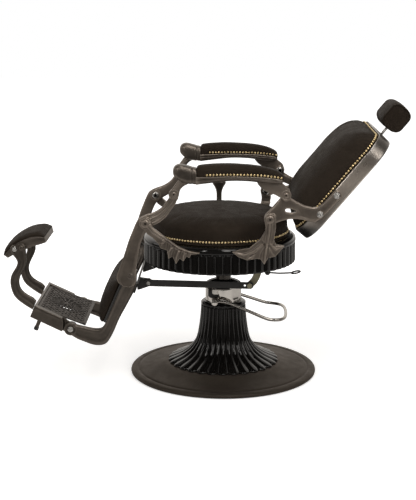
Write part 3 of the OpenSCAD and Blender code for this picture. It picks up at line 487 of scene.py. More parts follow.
def fillet(P, r):
    """Rounds the corners of a closed outline."""
    out = []
    P = [np.array(p, float) for p in P]
    for a, b, c in zip(P[-1:] + P, P, P[1:] + P[:1]):
        u, v = a - b, c - b
        d = min(r, 0.45 * np.linalg.norm(u), 0.45 * np.linalg.norm(v))
        p, q = b + u / np.linalg.norm(u) * d, b + v / np.linalg.norm(v) * d
        out += [tuple((1 - t) ** 2 * p + 2 * t * (1 - t) * b + t * t * q) for t in (0, 0.25, 0.5, 0.75, 1)]
    return out


class Slope:
    """A sloping plane in the side view: x across the chair, d along the plane and n off it."""

    def __init__(self, angle, y, z):
        self.c, self.s, self.y, self.z = math.cos(angle), math.sin(angle), y, z

    def way(self, x, d, n):
        """A direction of the plane, in the chair."""
        return (x, d * self.c - n * self.s, d * self.s + n * self.c)

    def at(self, x, d, n):
        """A point of the plane, in the chair."""
        return (x, self.y + d * self.c - n * self.s, self.z + d * self.s + n * self.c)

    def of(self, y, z):
        """d and n of the chair's points."""
        y, z = y - self.y, z - self.z
        return y * self.c + z * self.s, z * self.c - y * self.s


# ------------------------------------------------------------------ pieces


def mesh_of(name, form):
    me = bpy.data.meshes.new(name)
    me.from_pydata([tuple(c * MM for c in v) for v in form[0]], [], form[1])
    me.validate()
    bm = bmesh.new()
    bm.from_mesh(me)
    bmesh.ops.recalc_face_normals(bm, faces=bm.faces)
    bm.to_mesh(me)
    bm.free()
    return me


def place(name, me, mat, body, node, angle=38):
    """Object of a mesh, smooth but for edges sharper than angle, on its body and for its CAD node."""
    ob = bpy.data.objects.new(name, me)
    bpy.context.scene.collection.objects.link(ob)
    me.materials.clear()
    me.materials.append(MAT[mat])
    me.polygons.foreach_set("use_smooth", [True] * len(me.polygons))
    if angle:
        me.set_sharp_from_angle(angle=math.radians(angle))
    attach(ob, body)
    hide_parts(node)
    return ob


def piece(name, form, *where, **how):
    return place(name, mesh_of(name, form), *where, **how)


def pair(name, form, mat, body, node, angle):
    """A left piece and its mirror image."""
    piece(name + "_left", form, mat, body, node + "_left", angle)
    piece(name + "_right", flipped(form), mat, body, node + "_right", angle)


def second_finish(ob, mat, where):
    """Gives the faces that where(centre in mm, normal) picks a second finish."""
    ob.data.materials.append(MAT[mat])
    for f in ob.data.polygons:
        if where(f.center / MM, f.normal):
            f.material_index = 1


def coordinates(me):
    co, no = np.empty((2, len(me.vertices) * 3))
    me.vertices.foreach_get("co", co)
    me.vertices.foreach_get("normal", no)
    return co.reshape(-1, 3), no.reshape(-1, 3)


def relax(me, rounds):
    """Laplacian smoothing with a small push back, so that forms keep their size."""
    co, _ = coordinates(me)
    e = np.empty(len(me.edges) * 2, np.int64)
    me.edges.foreach_get("vertices", e)
    e = e.reshape(-1, 2)
    neighbours = np.bincount(e.ravel(), minlength=len(co))[:, None].clip(1)
    for f in (0.5, -0.47) * rounds:
        s = np.zeros_like(co)
        np.add.at(s, e[:, 0], co[e[:, 1]])
        np.add.at(s, e[:, 1], co[e[:, 0]])
        co = co + (s / neighbours - co) * f
    me.vertices.foreach_set("co", co.ravel())
    me.update()


def from_cad(node, voxel, rounds, relief):
    """A finer copy of a CAD node: remeshed, its edges eased, and carved by relief(y, z, |x|) outward."""
    me = NODES[node].data.copy()
    bm = bmesh.new()
    bm.from_mesh(me)
    bmesh.ops.remove_doubles(bm, verts=bm.verts, dist=0.02 * MM)
    bm.to_mesh(me)
    bm.free()
    ob = bpy.data.objects.new("remeshed", me)
    bpy.context.scene.collection.objects.link(ob)
    mod = ob.modifiers.new("even", "REMESH")
    mod.mode = "VOXEL"
    mod.voxel_size = voxel * MM
    out = bpy.data.meshes.new_from_object(ob.evaluated_get(bpy.context.evaluated_depsgraph_get()))
    bpy.data.objects.remove(ob)
    relax(out, rounds)
    co, no = coordinates(out)
    s = np.sign(co[:, 0])
    face = np.clip((no[:, 0] * s - 0.35) / 0.4, 0, 1)
    co[:, 0] += s * face * relief(co[:, 1] * 1000, co[:, 2] * 1000, np.abs(co[:, 0]) * 1000) * MM
    out.vertices.foreach_set("co", co.ravel())
    out.update()
    return out


def carved_pair(name, body, node, voxel, rounds, relief):
    """Bronze castings left and right, from the left CAD node."""
    left = from_cad(node + "_left", voxel, rounds, relief)
    place(name + "_left", left, "bronze", body, node + "_left", 0)
    right = left.copy()
    bm = bmesh.new()
    bm.from_mesh(right)
    for v in bm.verts:
        v.co.x = -v.co.x
    bmesh.ops.reverse_faces(bm, faces=bm.faces)
    bm.to_mesh(right)
    bm.free()
    place(name + "_right", right, "bronze", body, node + "_right", 0)


def to_line(Y, Z, line):
    """Distance of points to a polyline in the side view, and the nearest point's place along it, 0 to 1."""
    best, at = np.full(len(Y), 1e9), np.zeros(len(Y))
    for i, (a, b) in enumerate(zip(line, line[1:])):
        a, d = np.array(a, float), np.array(b, float) - a
        t = np.clip(((Y - a[0]) * d[0] + (Z - a[1]) * d[1]) / (d @ d), 0, 1)
        r = np.hypot(Y - a[0] - t * d[0], Z - a[1] - t * d[1])
        at = np.where(r < best, (i + t) / (len(line) - 1), at)
        best = np.minimum(r, best)
    return best, at


def wrinkles(co, scale, seed):
    off = Vector((seed * 7.1, seed * 3.3, seed * 5.7))
    return np.array([noise.noise(Vector(c) * scale + off) for c in co])


def nail_pull(phase):
    """1 at each nail and 0 midway between two, for a phase in nail pitches."""
    return 0.5 + 0.5 * np.cos(2 * math.pi * phase)


# ------------------------------------------------------------------ padded leather

CLOTH_FRAMES = 20


def inflate(me, held, pressure, cap):
    """Cloth run under inner pressure with some vertices held; no point moves further than cap mm."""
    ob = bpy.data.objects.new("cloth_run", me)
    scene = bpy.context.scene
    scene.collection.objects.link(ob)
    ob.vertex_groups.new(name="held").add(held, 1.0, "REPLACE")
    mod = ob.modifiers.new("cloth", "CLOTH")
    mod.collision_settings.use_collision = False
    mod.settings.effector_weights.gravity = 0
    for name, value in (("quality", 5), ("mass", 0.3),
                        ("tension_stiffness", 14), ("compression_stiffness", 10),
                        ("shear_stiffness", 6), ("bending_stiffness", 0.4), ("air_damping", 2),
                        ("use_pressure", True), ("uniform_pressure_force", pressure),
                        ("vertex_group_mass", "held")):
        setattr(mod.settings, name, value)
    before, _ = coordinates(me)
    for f in range(1, CLOTH_FRAMES + 1):
        scene.frame_set(f)
    after, _ = coordinates(ob.evaluated_get(bpy.context.evaluated_depsgraph_get()).data)
    d = (after - before) / MM
    size = np.linalg.norm(d, axis=1, keepdims=True)
    d = d / np.maximum(size, 1e-9) * cap * np.tanh(size / cap)
    me.vertices.foreach_set("co", (before + d * MM).ravel())
    me.update()
    bpy.data.objects.remove(ob)
    scene.frame_set(1)


def refined(A, closed):
    """Twice as many points along the first axis of an array, on a smooth curve through the old ones."""
    if closed:
        a, b, c = (np.roll(A, k, 0) for k in (1, -1, -2))
        mid = (9 * (A + b) - a - c) / 16
        return np.stack([A, mid], 1).reshape(-1, *A.shape[1:])
    P = np.concatenate([2 * A[:1] - A[1:2], A, 2 * A[-1:] - A[-2:-1]])
    out = np.empty((2 * len(A) - 1, *A.shape[1:]))
    out[0::2], out[1::2] = A, (9 * (P[1:-2] + P[2:-1]) - P[:-3] - P[3:]) / 16
    return out


def soft(name, rings, body, node, held, cap, detail, pressure=4.0):
    """Padded leather through closed rings. held lists the rings that stay where they are in the cloth run.

    detail(points, normals) gives how far each point moves along its normal, in mm.
    """
    m, n = len(rings), len(rings[0])
    me = mesh_of(name, skin(rings))
    fixed = [i % m * n + j for i in held for j in range(n)]
    fixed += [m * n + k for k, end in enumerate((0, -1)) if end in held]
    inflate(me, fixed, pressure, cap)
    co, _ = coordinates(me)
    grid = refined(co[:m * n].reshape(m, n, 3) / MM, False)
    grid = refined(grid.transpose(1, 0, 2), True).transpose(1, 0, 2)
    me = mesh_of(name, skin([[tuple(p) for p in ring] for ring in grid]))
    co, no = coordinates(me)
    me.vertices.foreach_set("co", (co + no * detail(co / MM, no)[:, None] * MM).ravel())
    me.update()
    place(name, me, "leather", body, node, 0)


# ------------------------------------------------------------------ pivots in the side view (Y, Z)

# the seat's front and rear pivots, and the armrest's
F0, R0, F1, R1 = (-266, 616), (161, 632), (-168, 717), (215, 715)
# the link's front pivot, the rocker's, the footrest's and the screw of lever and leg frame
B0, Q0, H0, K0 = (-268, 370), (145, 500), (-547, 207), (-320, 428)
# the pump lever's pivot, the recline lever's and the release rod's
P0, T0, ROD_PIVOT = (-31, 282), (-20, 470), (160, 400)
BACK_SCREWS = (332, 648), (388, 713)
# inner faces of the leg levers and of the armrest lugs, and the seat's centre (X, Y)
LEVER_X, OUTER_X = 275, 289
SEAT_C = (0, -14)

# ------------------------------------------------------------------ base and column

DISH = [
    (331.5, 0), (337, 0.2), (341, 1.6), (344, 4), (345, 8), (344.4, 11), (342.5, 13.6), (339, 15.4),
    (333, 16.8), (325, 17.8), (322, 17.6), (320.2, 16.9), (318.5, 16.5), (315.6, 16.4), (313.8, 16.9),
    (312, 18), (309.5, 19.2), (304, 20.2), (285, 23), (265, 26.5), (245, 31), (225, 37), (213, 40.6),
    (206, 41.9), (199, 42), (150, 42), (149, 34), (205, 33), (245, 23), (285, 15), (310, 11), (325, 9),
    (325, 3.05), (331.5, 3.05)]
piece("base_dish", skin(lathe(DISH, 160), loop=True), "iron", "base", "base_disc", angle=50)
piece("base_cover_plate", skin(lathe([(330, 0.02), (331, 0.4), (331, 2.6), (330, 3)], 120)),
      "black", "base", "sole_plate")


def fluted(rows, count, per, inner, centre=(0, 0), *, sharp):
    """Closed wall of rows (z, r, depth of the grooves), with count flutes, and a plain inner profile."""
    def lobe(a):
        return 1 - abs(math.cos(a * count / 2)) ** sharp
    rings = [lathe([(r, z)], count * per, centre, lambda a, *_: -depth * lobe(a))[0] for z, r, depth in rows]
    return skin(rings + lathe(inner, count * per, centre), loop=True)


# rows (height, radius, depth of the grooves) of the pedestal's flutes
NECK = [
    (261, 82.5, 4), (236, 84, 4.1), (205, 86.5, 4.2), (184, 89, 4.3), (160, 92.5, 4.5), (140, 96.5, 4.8),
    (120, 103, 5.4), (102, 115, 6.4), (93, 122.5, 7), (85, 131, 7.6), (77, 142, 8.3), (70, 153, 9),
    (64, 165, 9.8), (59, 177, 10.6), (55, 187, 11.3), (51.5, 196, 12), (48.5, 202, 12.6), (46, 204.8, 13),
    (43.6, 205, 13.2), (42, 203, 13)]
NECK_BORE = [(185, 42), (140, 70), (100, 102), (82, 140), (74, 184), (69, 262.2)]
COLLAR = [
    (67, 258), (81, 258), (82.4, 259), (83, 261), (83, 265), (82.6, 266.6), (81.4, 268), (78, 270.4),
    (75.5, 271.7), (72.5, 272.4), (67, 272.5)]
piece("fluted_pedestal",
      joined(fluted([(262.2, 80.5, 2.5), *catmull(NECK, 3)], 30, 14, NECK_BORE, sharp=0.85),
             skin(lathe(COLLAR, 120), loop=True)), "enamel", "base", "pedestal", angle=60)

# chrome pump housing: round barrel with flat shield-shaped facets and the pivot cheeks
BARREL_R, FACET_DEPTH, FACET_FOOT, FACET_ROUND = 66.5, 3, 300, 16


def facets(a, r, z):
    """Cuts four flat facets, each rounded at its foot, into the barrel."""
    if r <= 60:
        return 0
    foot = max(0, FACET_FOOT - z) / FACET_ROUND
    flat = BARREL_R - FACET_DEPTH * math.sqrt(max(0.0, 1 - foot ** 2))
    off = ((a - math.radians(c) + math.pi) % (2 * math.pi) - math.pi for c in (45, -45, 135, 225))
    return min(0, *(flat / max(0.2, math.cos(d)) - r for d in off))


BARREL = [(40, 272.5), (66, 272.5), (BARREL_R, 273.2), *((BARREL_R, z) for z in range(274, 324, 2)),
          (BARREL_R, 325), (66.2, 327), (65.2, 329), (63, 330), (30, 330)]
CHEEK = [[(x, -56 + e, 327 - e), (x, -56 + e, 292), (x, -46 + e, 276), (x, -40, 272.6 + e),
          (x, -24, 272.6 + e), (x, -18 - e, 278), (x, -18 - e, 300), (x, -18 - e, 327 - e)]
         for x, e in ((40, 0), (62, 0), (65, 0.8), (66.5, 2.0))]
SLEEVE = [(42, 42), (75, 42), (75, 51), (74, 52), (42.5, 52), (42, 53), (42, 272)]
piece("pump_barrel",
      joined(skin(lathe(BARREL, 144, wave=facets)), both(skin(CHEEK)), skin(lathe(SLEEVE, 72))),
      "chrome", "base", "pump_housing", angle=30)
CAP = [
    (28.2, 329.5), (63.5, 329.8), (64.6, 330.6), (65, 332), (65, 336.4), (64.2, 338.6), (62, 341),
    (57.5, 343.6), (52, 346), (45, 348.5), (38, 350.6), (32, 352.4), (30, 353), (28.4, 352.8), (28.2, 352)]
piece("column_dome", skin(lathe(CAP), loop=True), "enamel", "base", "column_cap", angle=50)
RAM = [(28, 130), (28, 438.6), (26.8, 440), (20, 440), (20, 507.4), (19.4, 508)]
# the ram's dark steel is painted shade under the skirt
piece("lift_piston", skin(lathe(RAM, 64)), "ram", "lift", "piston")

PIN_SLEEVE = [(4.9, 65), (7.6, 65), (8, 65.5), (8, 84.5), (7.6, 85), (4.9, 85)]
PIN_END = [(5.2, 99), (8.4, 99.2), (9, 99.8), (9, 101.6), (8.2, 102.6), (5.2, 102.8)]
piece("lever_pivot_pins", both(shaft(P0, 5, 50, 100.5), skin(xlathe(P0, PIN_SLEEVE, 36), loop=True),
                               skin(xlathe(P0, PIN_END, 36))), "chrome", "base", "lever_pins")
STRAP = [
    (-55, 328), (-55.5, 306), (-53.5, 300.5), (-49, 296.5), (-40, 294.6), (-29, 295), (-18, 297),
    (-17, 302), (-18, 307), (-30, 306.4), (-36, 307.2), (-39.4, 311), (-40, 316), (-40, 328)]
piece("lever_stop_strap", plate(STRAP, 66.3, 70.2, 0.6), "black", "base", "stop_strap", angle=40)

# pump lever: one bent rod with an eye at each end
BAIL = [
    (92, -31, 284), (92, -20, 286), (92, -6, 286.5), (92.5, 10, 284), (95, 36, 276.5), (99, 60, 267.5),
    (104, 87, 257.5), (110, 115, 247), (116, 142, 236.5), (120, 165, 229.5), (120, 185, 227),
    (113, 205, 226), (97, 219, 226), (70, 227.5, 226.5), (35, 231, 227)]
EYE = [
    (5.3, 86.4), (10.6, 86.4), (11.4, 87.2), (11.5, 88.4), (11.5, 95.6), (11.4, 96.8), (10.6, 97.6),
    (5.3, 97.6)]
rod = tube(BAIL + [(0, 232, 227)] + [(-x, y, z) for x, y, z in reversed(BAIL)], 5.8, 16, 4)
piece("pump_pedal_bail", joined(rod, both(skin(xlathe(P0, EYE, 40), loop=True))),
      "bail", "pump_handle", "pump_lever", angle=50)

# ------------------------------------------------------------------ seat

RIM = [
    (258, 507), (270, 507), (270, 500), (275.6, 500), (276.8, 500.6), (278.4, 503.4), (279, 505.6),
    (278.8, 509), (278.2, 513.4), (276.6, 517.4), (273.4, 520.6), (269.5, 522.8), (264.5, 524.8),
    (260.5, 526), (258, 526.2), (256.4, 525.4), (257, 522.5), (267.6, 517), (267.6, 513), (258, 513)]
piece("seat_rim_band", skin(lathe(RIM, 180, SEAT_C), loop=True), "enamel", "seat", "seat_rim", angle=45)
SKIRT = [
    (500.2, 274.5, 1.6), (499.6, 276.2, 2.2), (497.5, 277.3, 3.6), (494, 277.8, 4.8), (489, 278, 5.4),
    (470, 278.2, 5.6), (450, 278.6, 5.6), (440, 278.9, 5.6), (434, 279, 5.5), (430, 278.8, 5.2),
    (428.4, 277.8, 4.6), (428, 276.4, 4)]
piece("fluted_skirt", fluted(SKIRT, 56, 12, [(270.6, 428.2), (270.6, 500)], SEAT_C, sharp=0.75),
      "enamel", "seat", "seat_skirt", angle=60)

# round leather seat: a rolled edge over a drum side that is nailed down all round
SEAT_NAILS = 140
CUSHION = [
    (120, 530.1), (249.9, 530.1), (250.2, 527), (250.2, 519), (250.6, 517.6), (251.2, 518.4), (251.4, 524),
    (251, 532), (250.3, 539.5), (251, 545), (252, 552), (252.4, 560), (252, 569), (250.8, 577),
    (248.6, 584), (245, 590), (240, 595), (233, 599.6), (223, 603.6), (209, 606.8), (190, 609.2),
    (165, 611), (135, 612.4), (100, 613.5), (62, 614.2), (24, 614.5)]


def seat_detail(co, no):
    x, y, z = co[:, 0], co[:, 1] - SEAT_C[1], co[:, 2]
    r, a = np.hypot(x, y), np.arctan2(y, x)
    side = (r > 236) & (z > 533)
    pull = np.where(side, (1 - np.clip((z - 538) / 26, 0, 1)) ** 1.5, 0)
    pull *= nail_pull(a * SEAT_NAILS / (2 * math.pi))
    pleat = np.where(side & (z > 539), np.exp(-((z - 556) / 18) ** 2), 0)
    pleat *= wrinkles(np.stack([a * 24, z * 0.012, r * 0], 1), 1.0, 2)
    top = np.clip((z - 585) / 20, 0, 1) * wrinkles(co * MM, 16.0, 1) * 0.8
    return -1.5 * pull + 0.9 * pleat + top


soft("round_seat_leather", lathe(CUSHION, 280, SEAT_C), "seat", "seat_cushion", range(9), 5, seat_detail)
nails = [((250.4 * c, 250.4 * s + SEAT_C[1], 539.5), (c, s, 0.05)) for c, s in circle(SEAT_NAILS)]
piece("seat_nailheads", domes(nails, 4.3, 2.7), "brass", "seat", "seat_nails", angle=50)

# ------------------------------------------------------------------ seat side castings


def leaf_relief(spine, veins, grooves):
    """Relief of a leaf bracket: a ridged spine, raised veins and grooves, as lines in (Y, Z)."""
    def relief(Y, Z, X):
        d, t = to_line(Y, Z, spine)
        out = 2.2 * np.exp(-(d / 3.4) ** 2) - 0.9 * np.exp(-((d - 5.2) / 1.8) ** 2)
        out = (out + 1.3 * np.exp(-((d - 9) / 2.4) ** 2)) * (1 - 0.4 * t)
        for line in veins:
            d, t = to_line(Y, Z, line)
            out += 2.1 * np.exp(-(d / 3.0) ** 2) * (1 - 0.4 * t)
        for line in grooves:
            out -= 2.4 * np.exp(-(to_line(Y, Z, line)[0] / 2.2) ** 2)
        return out
    return relief


FRONT_SPINE = [(-252, 612), (-238, 592), (-215, 576), (-190, 560), (-158, 534), (-128, 521), (-92, 511)]
FRONT_VEINS = [
    [(-176, 545), (-184, 515), (-187, 496)], [(-152, 532), (-160, 500), (-163, 478)],
    [(-132, 522), (-136, 500), (-137, 486)], [(-205, 560), (-212, 540)], [(-110, 514), (-114, 500)]]
FRONT_GROOVES = [
    [(-164, 536), (-172, 512), (-175, 500)], [(-142, 524), (-148, 505), (-150, 494)],
    [(-121, 516), (-124, 502)], [(-190, 548), (-193, 524)]]
REAR_SPINE = [(160, 620), (158, 585), (152, 545), (147, 505), (143, 478)]
REAR_VEINS = [
    [(138, 546), (108, 522), (72, 506), (40, 513)], [(164, 546), (184, 526), (204, 534)],
    [(120, 528), (108, 505), (98, 492)], [(160, 530), (172, 508), (180, 502)]]
REAR_GROOVES = [
    [(146, 535), (132, 510), (129, 494)], [(154, 530), (158, 508), (157, 496)], [(112, 512), (86, 494)],
    [(176, 540), (196, 540)]]
carved_pair("front_leaf_bracket", "seat", "front_bracket", 1.8, 2,
            leaf_relief(FRONT_SPINE, FRONT_VEINS, FRONT_GROOVES))
carved_pair("rear_leaf_bracket", "seat", "rear_bracket", 1.8, 2,
            leaf_relief(REAR_SPINE, REAR_VEINS, REAR_GROOVES))

SPACER = [(5.2, 271.6), (12.4, 271.6), (13, 272.1), (13, 273.6), (12.4, 274), (5.2, 274)]
forms = [form for p in (F0, R0) for form in (
    shaft(p, 6, 265, OUTER_X + 14), button(p, 15, OUTER_X + 13, 5.5, 0.3),
    skin(xlathe(p, SPACER, 36), loop=True), nut(p, 10, 265, 271.5))]
screws = piece("seat_pivot_screws",
               both(*forms, shaft(Q0, 5, 126, 152), nut(Q0, 8, 151, 155), shaft(Q0, 7.2, 125, 129.2)),
               "steel", "seat", "seat_pivot_pins", angle=40)
second_finish(screws, "bronze", lambda c, n: abs(c.x) > 300)

# T-shaped recline lever on the sitter's right
T_RUN = [(0, 0.25), (0.06, 0.62), (0.16, 0.86), (0.3, 0.97), (0.5, 1), (0.7, 0.97), (0.84, 0.86),
         (0.94, 0.62), (1, 0.25)]
T_LEVER = [
    ((-33, 476), (-7, 476), -316, 19), ((-33, 490), (-7, 490), -318, 19), ((-31, 520), (-9, 520), -322, 16),
    ((-30.5, 560), (-9.5, 560), -326, 14.5), ((-30, 600), (-10, 600), -329, 14),
    ((-31, 622), (-9, 622), -330, 16), ((-36, 638), (-4, 638), -330, 21), ((-43, 650), (3, 650), -330, 25),
    ((-46, 656), (6, 656), -330, 27), ((-45.4, 661), (5.4, 661), -330, 27),
    ((-42, 664.5), (2, 664.5), -330, 24), ((-36, 666.5), (-4, 666.5), -330, 18)]
T_SHAFT = [(8.4, -234), (9, -235), (9, -300), (9, -312)]
T_HUB = [
    (8.2, 301.5), (15.6, 302), (17, 303.6), (17, 325), (16.4, 328), (14.4, 330), (9, 331), (8.4, 330),
    (4, 330)]
piece("t_handle_lever",
      joined(loft(T_LEVER, there_and_back(T_RUN, T_RUN), 4, (0.3, 0.75)), skin(xlathe(T0, T_SHAFT)),
             skin(xlathe(T0, [(r, -x) for r, x in T_HUB], 40))),
      "low", "recline_handle", "recline_lever", angle=55)

# release rod on the sitter's left, with a tilted eye
EYE_C, EYE_R, EYE_ROD = (106, 262, 402), 16, 3
tilt = Slope(math.radians(12), *EYE_C[1:])
eye = [[tilt.at(EYE_C[0] + (EYE_R + EYE_ROD * q) * c, (EYE_R + EYE_ROD * q) * s, EYE_ROD * u)
        for q, u in circle(12)] for c, s in circle(40)]
ROD_HUB = [(4, 102), (8.4, 102), (9, 102.6), (9, 109.4), (8.4, 110), (4, 110)]
ROD = [(106, 166, 400), (106, 180, 399.2), (106, 200, 398), (106, 225, 398.6), (106, 247, 400)]
piece("release_rod_and_eye",
      joined(skin(xlathe(ROD_PIVOT, [(3.4, 94), (3.9, 94.5), (3.9, 111.5), (3.4, 112)], 24)),
             skin(xlathe(ROD_PIVOT, ROD_HUB), loop=True), tube(ROD, EYE_ROD, 14, 4), skin(eye, loop=True)),
      "black", "release_handle", "release_rod", angle=60)

# ------------------------------------------------------------------ back and headrest

# the back's plane passes through the origin, and its centre is BACK_C up the slope
TILT, BACK_C = math.radians(50), 826
back = Slope(TILT, BACK_C * math.cos(TILT), BACK_C * math.sin(TILT))
# half width and half height of the shell, and the heights of its foot and its edge off the plane
BACK_W, BACK_H, BACK_N, EDGE_N = 275, 221, 126, 176
# rows (half width, half height, corner radius, height over the foot)
SHELL = [(120, 90, 40, 0), (262, 208, 78, 0), (269, 215, 82, 0.4), (273, 219, 86, 1.8),
         (274.6, 220.6, 87.6, 4), *((BACK_W, BACK_H, 88, n) for n in (7, 20, 35, 46.5)),
         (274.6, 220.6, 87.6, 48.8), (273.4, 219.4, 86.4, 50), (271.4, 217.4, 84.4, 50),
         (271, 217, 84, 49), (271, 217, 84, 5), (262, 208, 78, 4), (120, 90, 40, 4)]


def back_ring(w, h, r, n, count):
    return [back.at(x, d, n) for x, d in rounded_rectangle(w, h, r, count)]


shell = piece("back_shell_band", skin([back_ring(w, h, r, BACK_N + n, 200) for w, h, r, n in SHELL]),
              "band", "back", "back_shell", angle=40)
second_finish(shell, "black", lambda c, n: back.of(c.y, c.z)[1] < BACK_N + 1.2)

# the nails stand on the leather's side wall, a little inside the row that its folds follow
BACK_NAILS, NAIL_IN = 156, 4.8
NAIL_ROW = (BACK_W - 7.4, BACK_H - 4.4, 82)
row = rounded_rectangle(BACK_W - 8, BACK_H - 5, 82, BACK_NAILS)
nails = []
for (x, d), after, before in zip(row, row[1:] + row[:1], row[-1:] + row):
    t = (Vector(after) - Vector(before)).normalized()
    nails.append((back.at(x - NAIL_IN * t.y, d + NAIL_IN * t.x, BACK_N + 56.5), back.way(t.y, -t.x, 0.2)))
piece("back_nailheads", domes(nails, 4.5, 2.9), "brass", "back", "back_nails", angle=50)

# leather: three rings on the shell, then a crown (share of its outline, share of its height)
CROWN_H = 91
FOOT = [(270.6, 216.6, 83.6, 0.05), (270.7, 216.7, 83.7, 0.7), (267, 213.6, 81, 1.0)]
CROWN = [
    (0.993, 0.022), (1.0, 0.075), (1.004, 0.13), (1.0, 0.19), (0.99, 0.25), (0.975, 0.315), (0.955, 0.38),
    (0.927, 0.455), (0.893, 0.53), (0.85, 0.605), (0.80, 0.675), (0.74, 0.74), (0.672, 0.80),
    (0.595, 0.853), (0.51, 0.896), (0.42, 0.93), (0.325, 0.957), (0.225, 0.98), (0.12, 0.994)]
rings = [back_ring(w, h, r, EDGE_N + n, 312) for w, h, r, n in FOOT]
CROWN_OUTLINE = rounded_rectangle(BACK_W - 12, BACK_H - 9, 78, 312)
rings += [[back.at(x * k, d * k, EDGE_N + CROWN_H * n) for x, d in CROWN_OUTLINE] for k, n in CROWN]


def perimeter(x, d, w, h, r, count):
    """Phase round a rounded rectangle, in nail pitches."""
    P = np.array(rounded_rectangle(w, h, r, count * 4))
    return np.array([((P - q) ** 2).sum(1).argmin() for q in np.stack([x, d], 1)]) / 4


def back_detail(co, no):
    d, n = back.of(co[:, 1], co[:, 2])
    h = n - EDGE_N
    edge = (h > 1.6) & (h < 46)
    phase = perimeter(co[:, 0], d, *NAIL_ROW, BACK_NAILS)
    pull = np.where(edge, np.exp(-np.maximum(h - 4, 0) / 13), 0) * nail_pull(phase)
    folds = np.where(edge, np.exp(-((h - 20) / 16) ** 2), 0)
    folds *= wrinkles(np.stack([phase * 0.55, h * 0.02, h * 0], 1), 1.0, 4)
    return -1.8 * pull + 1.6 * folds + np.clip(h / 40, 0, 1) * wrinkles(co * MM, 14.0, 3) * 1.5


soft("back_cushion_leather", rings, "back", "back_cushion", range(4), 5, back_detail)

# headrest roll: leather barrel with welted flat ends, on one chrome post
HEAD_L, HEAD_D, HEAD_N = 100, 298, BACK_N + 23
HEAD_OUTLINE = rounded_rectangle(48, 43, 29, 72)
# rings (distance from the roll's end, share of its outline)
HEAD_END = [(5, 0.35), (4.2, 0.62), (3.6, 0.78), (3.4, 0.855), (1.4, 0.872), (0.1, 0.895), (0.2, 0.925),
            (2, 0.948), (4.2, 0.94), (5.6, 0.925), (9, 0.945), (16, 0.968), (28, 0.99), (46, 1.005),
            (66, 1.012), (84, 1.015)]
ends = [(e - HEAD_L, k) for e, k in HEAD_END]
rings = [[back.at(x, HEAD_D + d * k, HEAD_N + n * k) for d, n in HEAD_OUTLINE]
         for x, k in ends + [(0, 1.016)] + [(-x, k) for x, k in reversed(ends)]]


def head_detail(co, no):
    d, n = back.of(co[:, 1], co[:, 2])
    a, e = np.arctan2(n - HEAD_N, d - HEAD_D), np.abs(co[:, 0])
    gathers = np.exp(-np.maximum(HEAD_L - 7 - e, 0) / 15) * (e < HEAD_L - 5) * (0.5 + 0.5 * np.sin(a * 26))
    return 0.9 * wrinkles(co * MM, 22.0, 6) * np.clip((HEAD_L - 8 - e) / 12, 0, 1) - 1.1 * gathers


soft("headrest_roll", rings, "headrest", "headrest_pad", range(-10, 10), 4, head_detail)
POST = [(44, 4.2), (44.8, 5), (118, 5), (222, 5), (250, 5), (252, 5), (283, 5), (284, 4.2)]
rings = [[back.at(r * c, d, BACK_N + 11 + r * s) for c, s in circle(32)] for d, r in POST]
piece("headrest_rod", skin(rings), "steel", "headrest", "headrest_post", angle=50)

BRACKET_EDGE = [
    (146, 618), (143, 645), (160, 663), (180, 686), (197, 706), (224, 710), (250, 694), (280, 679),
    (306, 673), (325, 675), (345, 689), (366, 713), (384, 733), (396, 732), (407, 710), (390, 690),
    (364, 663), (338, 634), (317, 620), (298, 622), (274, 628), (252, 631), (230, 631), (200, 624),
    (182, 617), (168, 612), (146, 618)]
TEARDROP = [(212, 661), (216, 668), (232, 667), (256, 657), (236, 653), (216, 655), (212, 661)]


def back_relief(Y, Z, X):
    d, hole = to_line(Y, Z, BRACKET_EDGE)[0], to_line(Y, Z, TEARDROP)[0]
    out = 0.9 * np.exp(-((d - 4.5) / 3.2) ** 2) - 0.9 * np.clip((d - 8) / 5, 0, 1)
    out += 1.1 * np.exp(-((hole - 2.5) / 2.5) ** 2)
    for c, r in ((R0, 20), (R1, 19)):
        q = np.hypot(Y - c[0], Z - c[1])
        out = np.where(q < r + 2, 0.9 * np.exp(-((q - r) / 3) ** 2), out)
    for c in BACK_SCREWS:
        out = np.where(np.hypot(Y - c[0], Z - c[1]) < 12, 0.3, out)
    return out


carved_pair("back_side_bracket", "back", "back_bracket", 2.0, 3, back_relief)
forms = [form for p in BACK_SCREWS for form in (
    shaft(p, 4, 245, 289, 24), washer(p, 4, 11, 287.9, 1.5), cross_button(p, 8.6, 289.4, 4.4))]
piece("back_bracket_screws", both(*forms), "steel", "back", "back_bolts", angle=45)

# ------------------------------------------------------------------ leg frame

# rows (edge, edge, share of the three-roll moulding), from the armrest's pivot down to the frame
LEG = [
    ((-180, 716), (-156, 715), 1), ((-184, 706), (-153, 702), 1), ((-189, 698), (-158, 694), 1),
    ((-196, 688), (-162, 684), 1), ((-204, 677), (-172, 670), 1), ((-215, 667), (-184, 653), 1),
    ((-229, 658), (-197, 636), 1), ((-244, 651), (-214, 621), 1), ((-262, 645), (-236, 608), 1),
    ((-278, 638), (-246, 602), 1), ((-292, 628), (-251, 599), 0.7), ((-302, 610), (-257, 594), 0.3),
    ((-313, 584), (-268, 579), 0), ((-324, 557), (-280, 552), 0), ((-333, 530), (-287, 528), 0),
    ((-341, 505), (-293, 503), 0), ((-352, 474), (-298, 474), 0), ((-362, 446), (-301, 450), 0),
    ((-368, 428), (-303, 428), 0), ((-367, 412), (-302, 408), 0), ((-360, 400), (-308, 394), 0),
    ((-346, 391), (-322, 388), 0)]
# heights across its inner face: (share across, share of half the thickness)
LEVER_BACK = [(0, 0.35), (0.03, 0.66), (0.09, 0.9), (0.18, 1), (0.5, 1), (0.82, 1), (0.91, 0.9),
              (0.97, 0.66), (1, 0.35)]


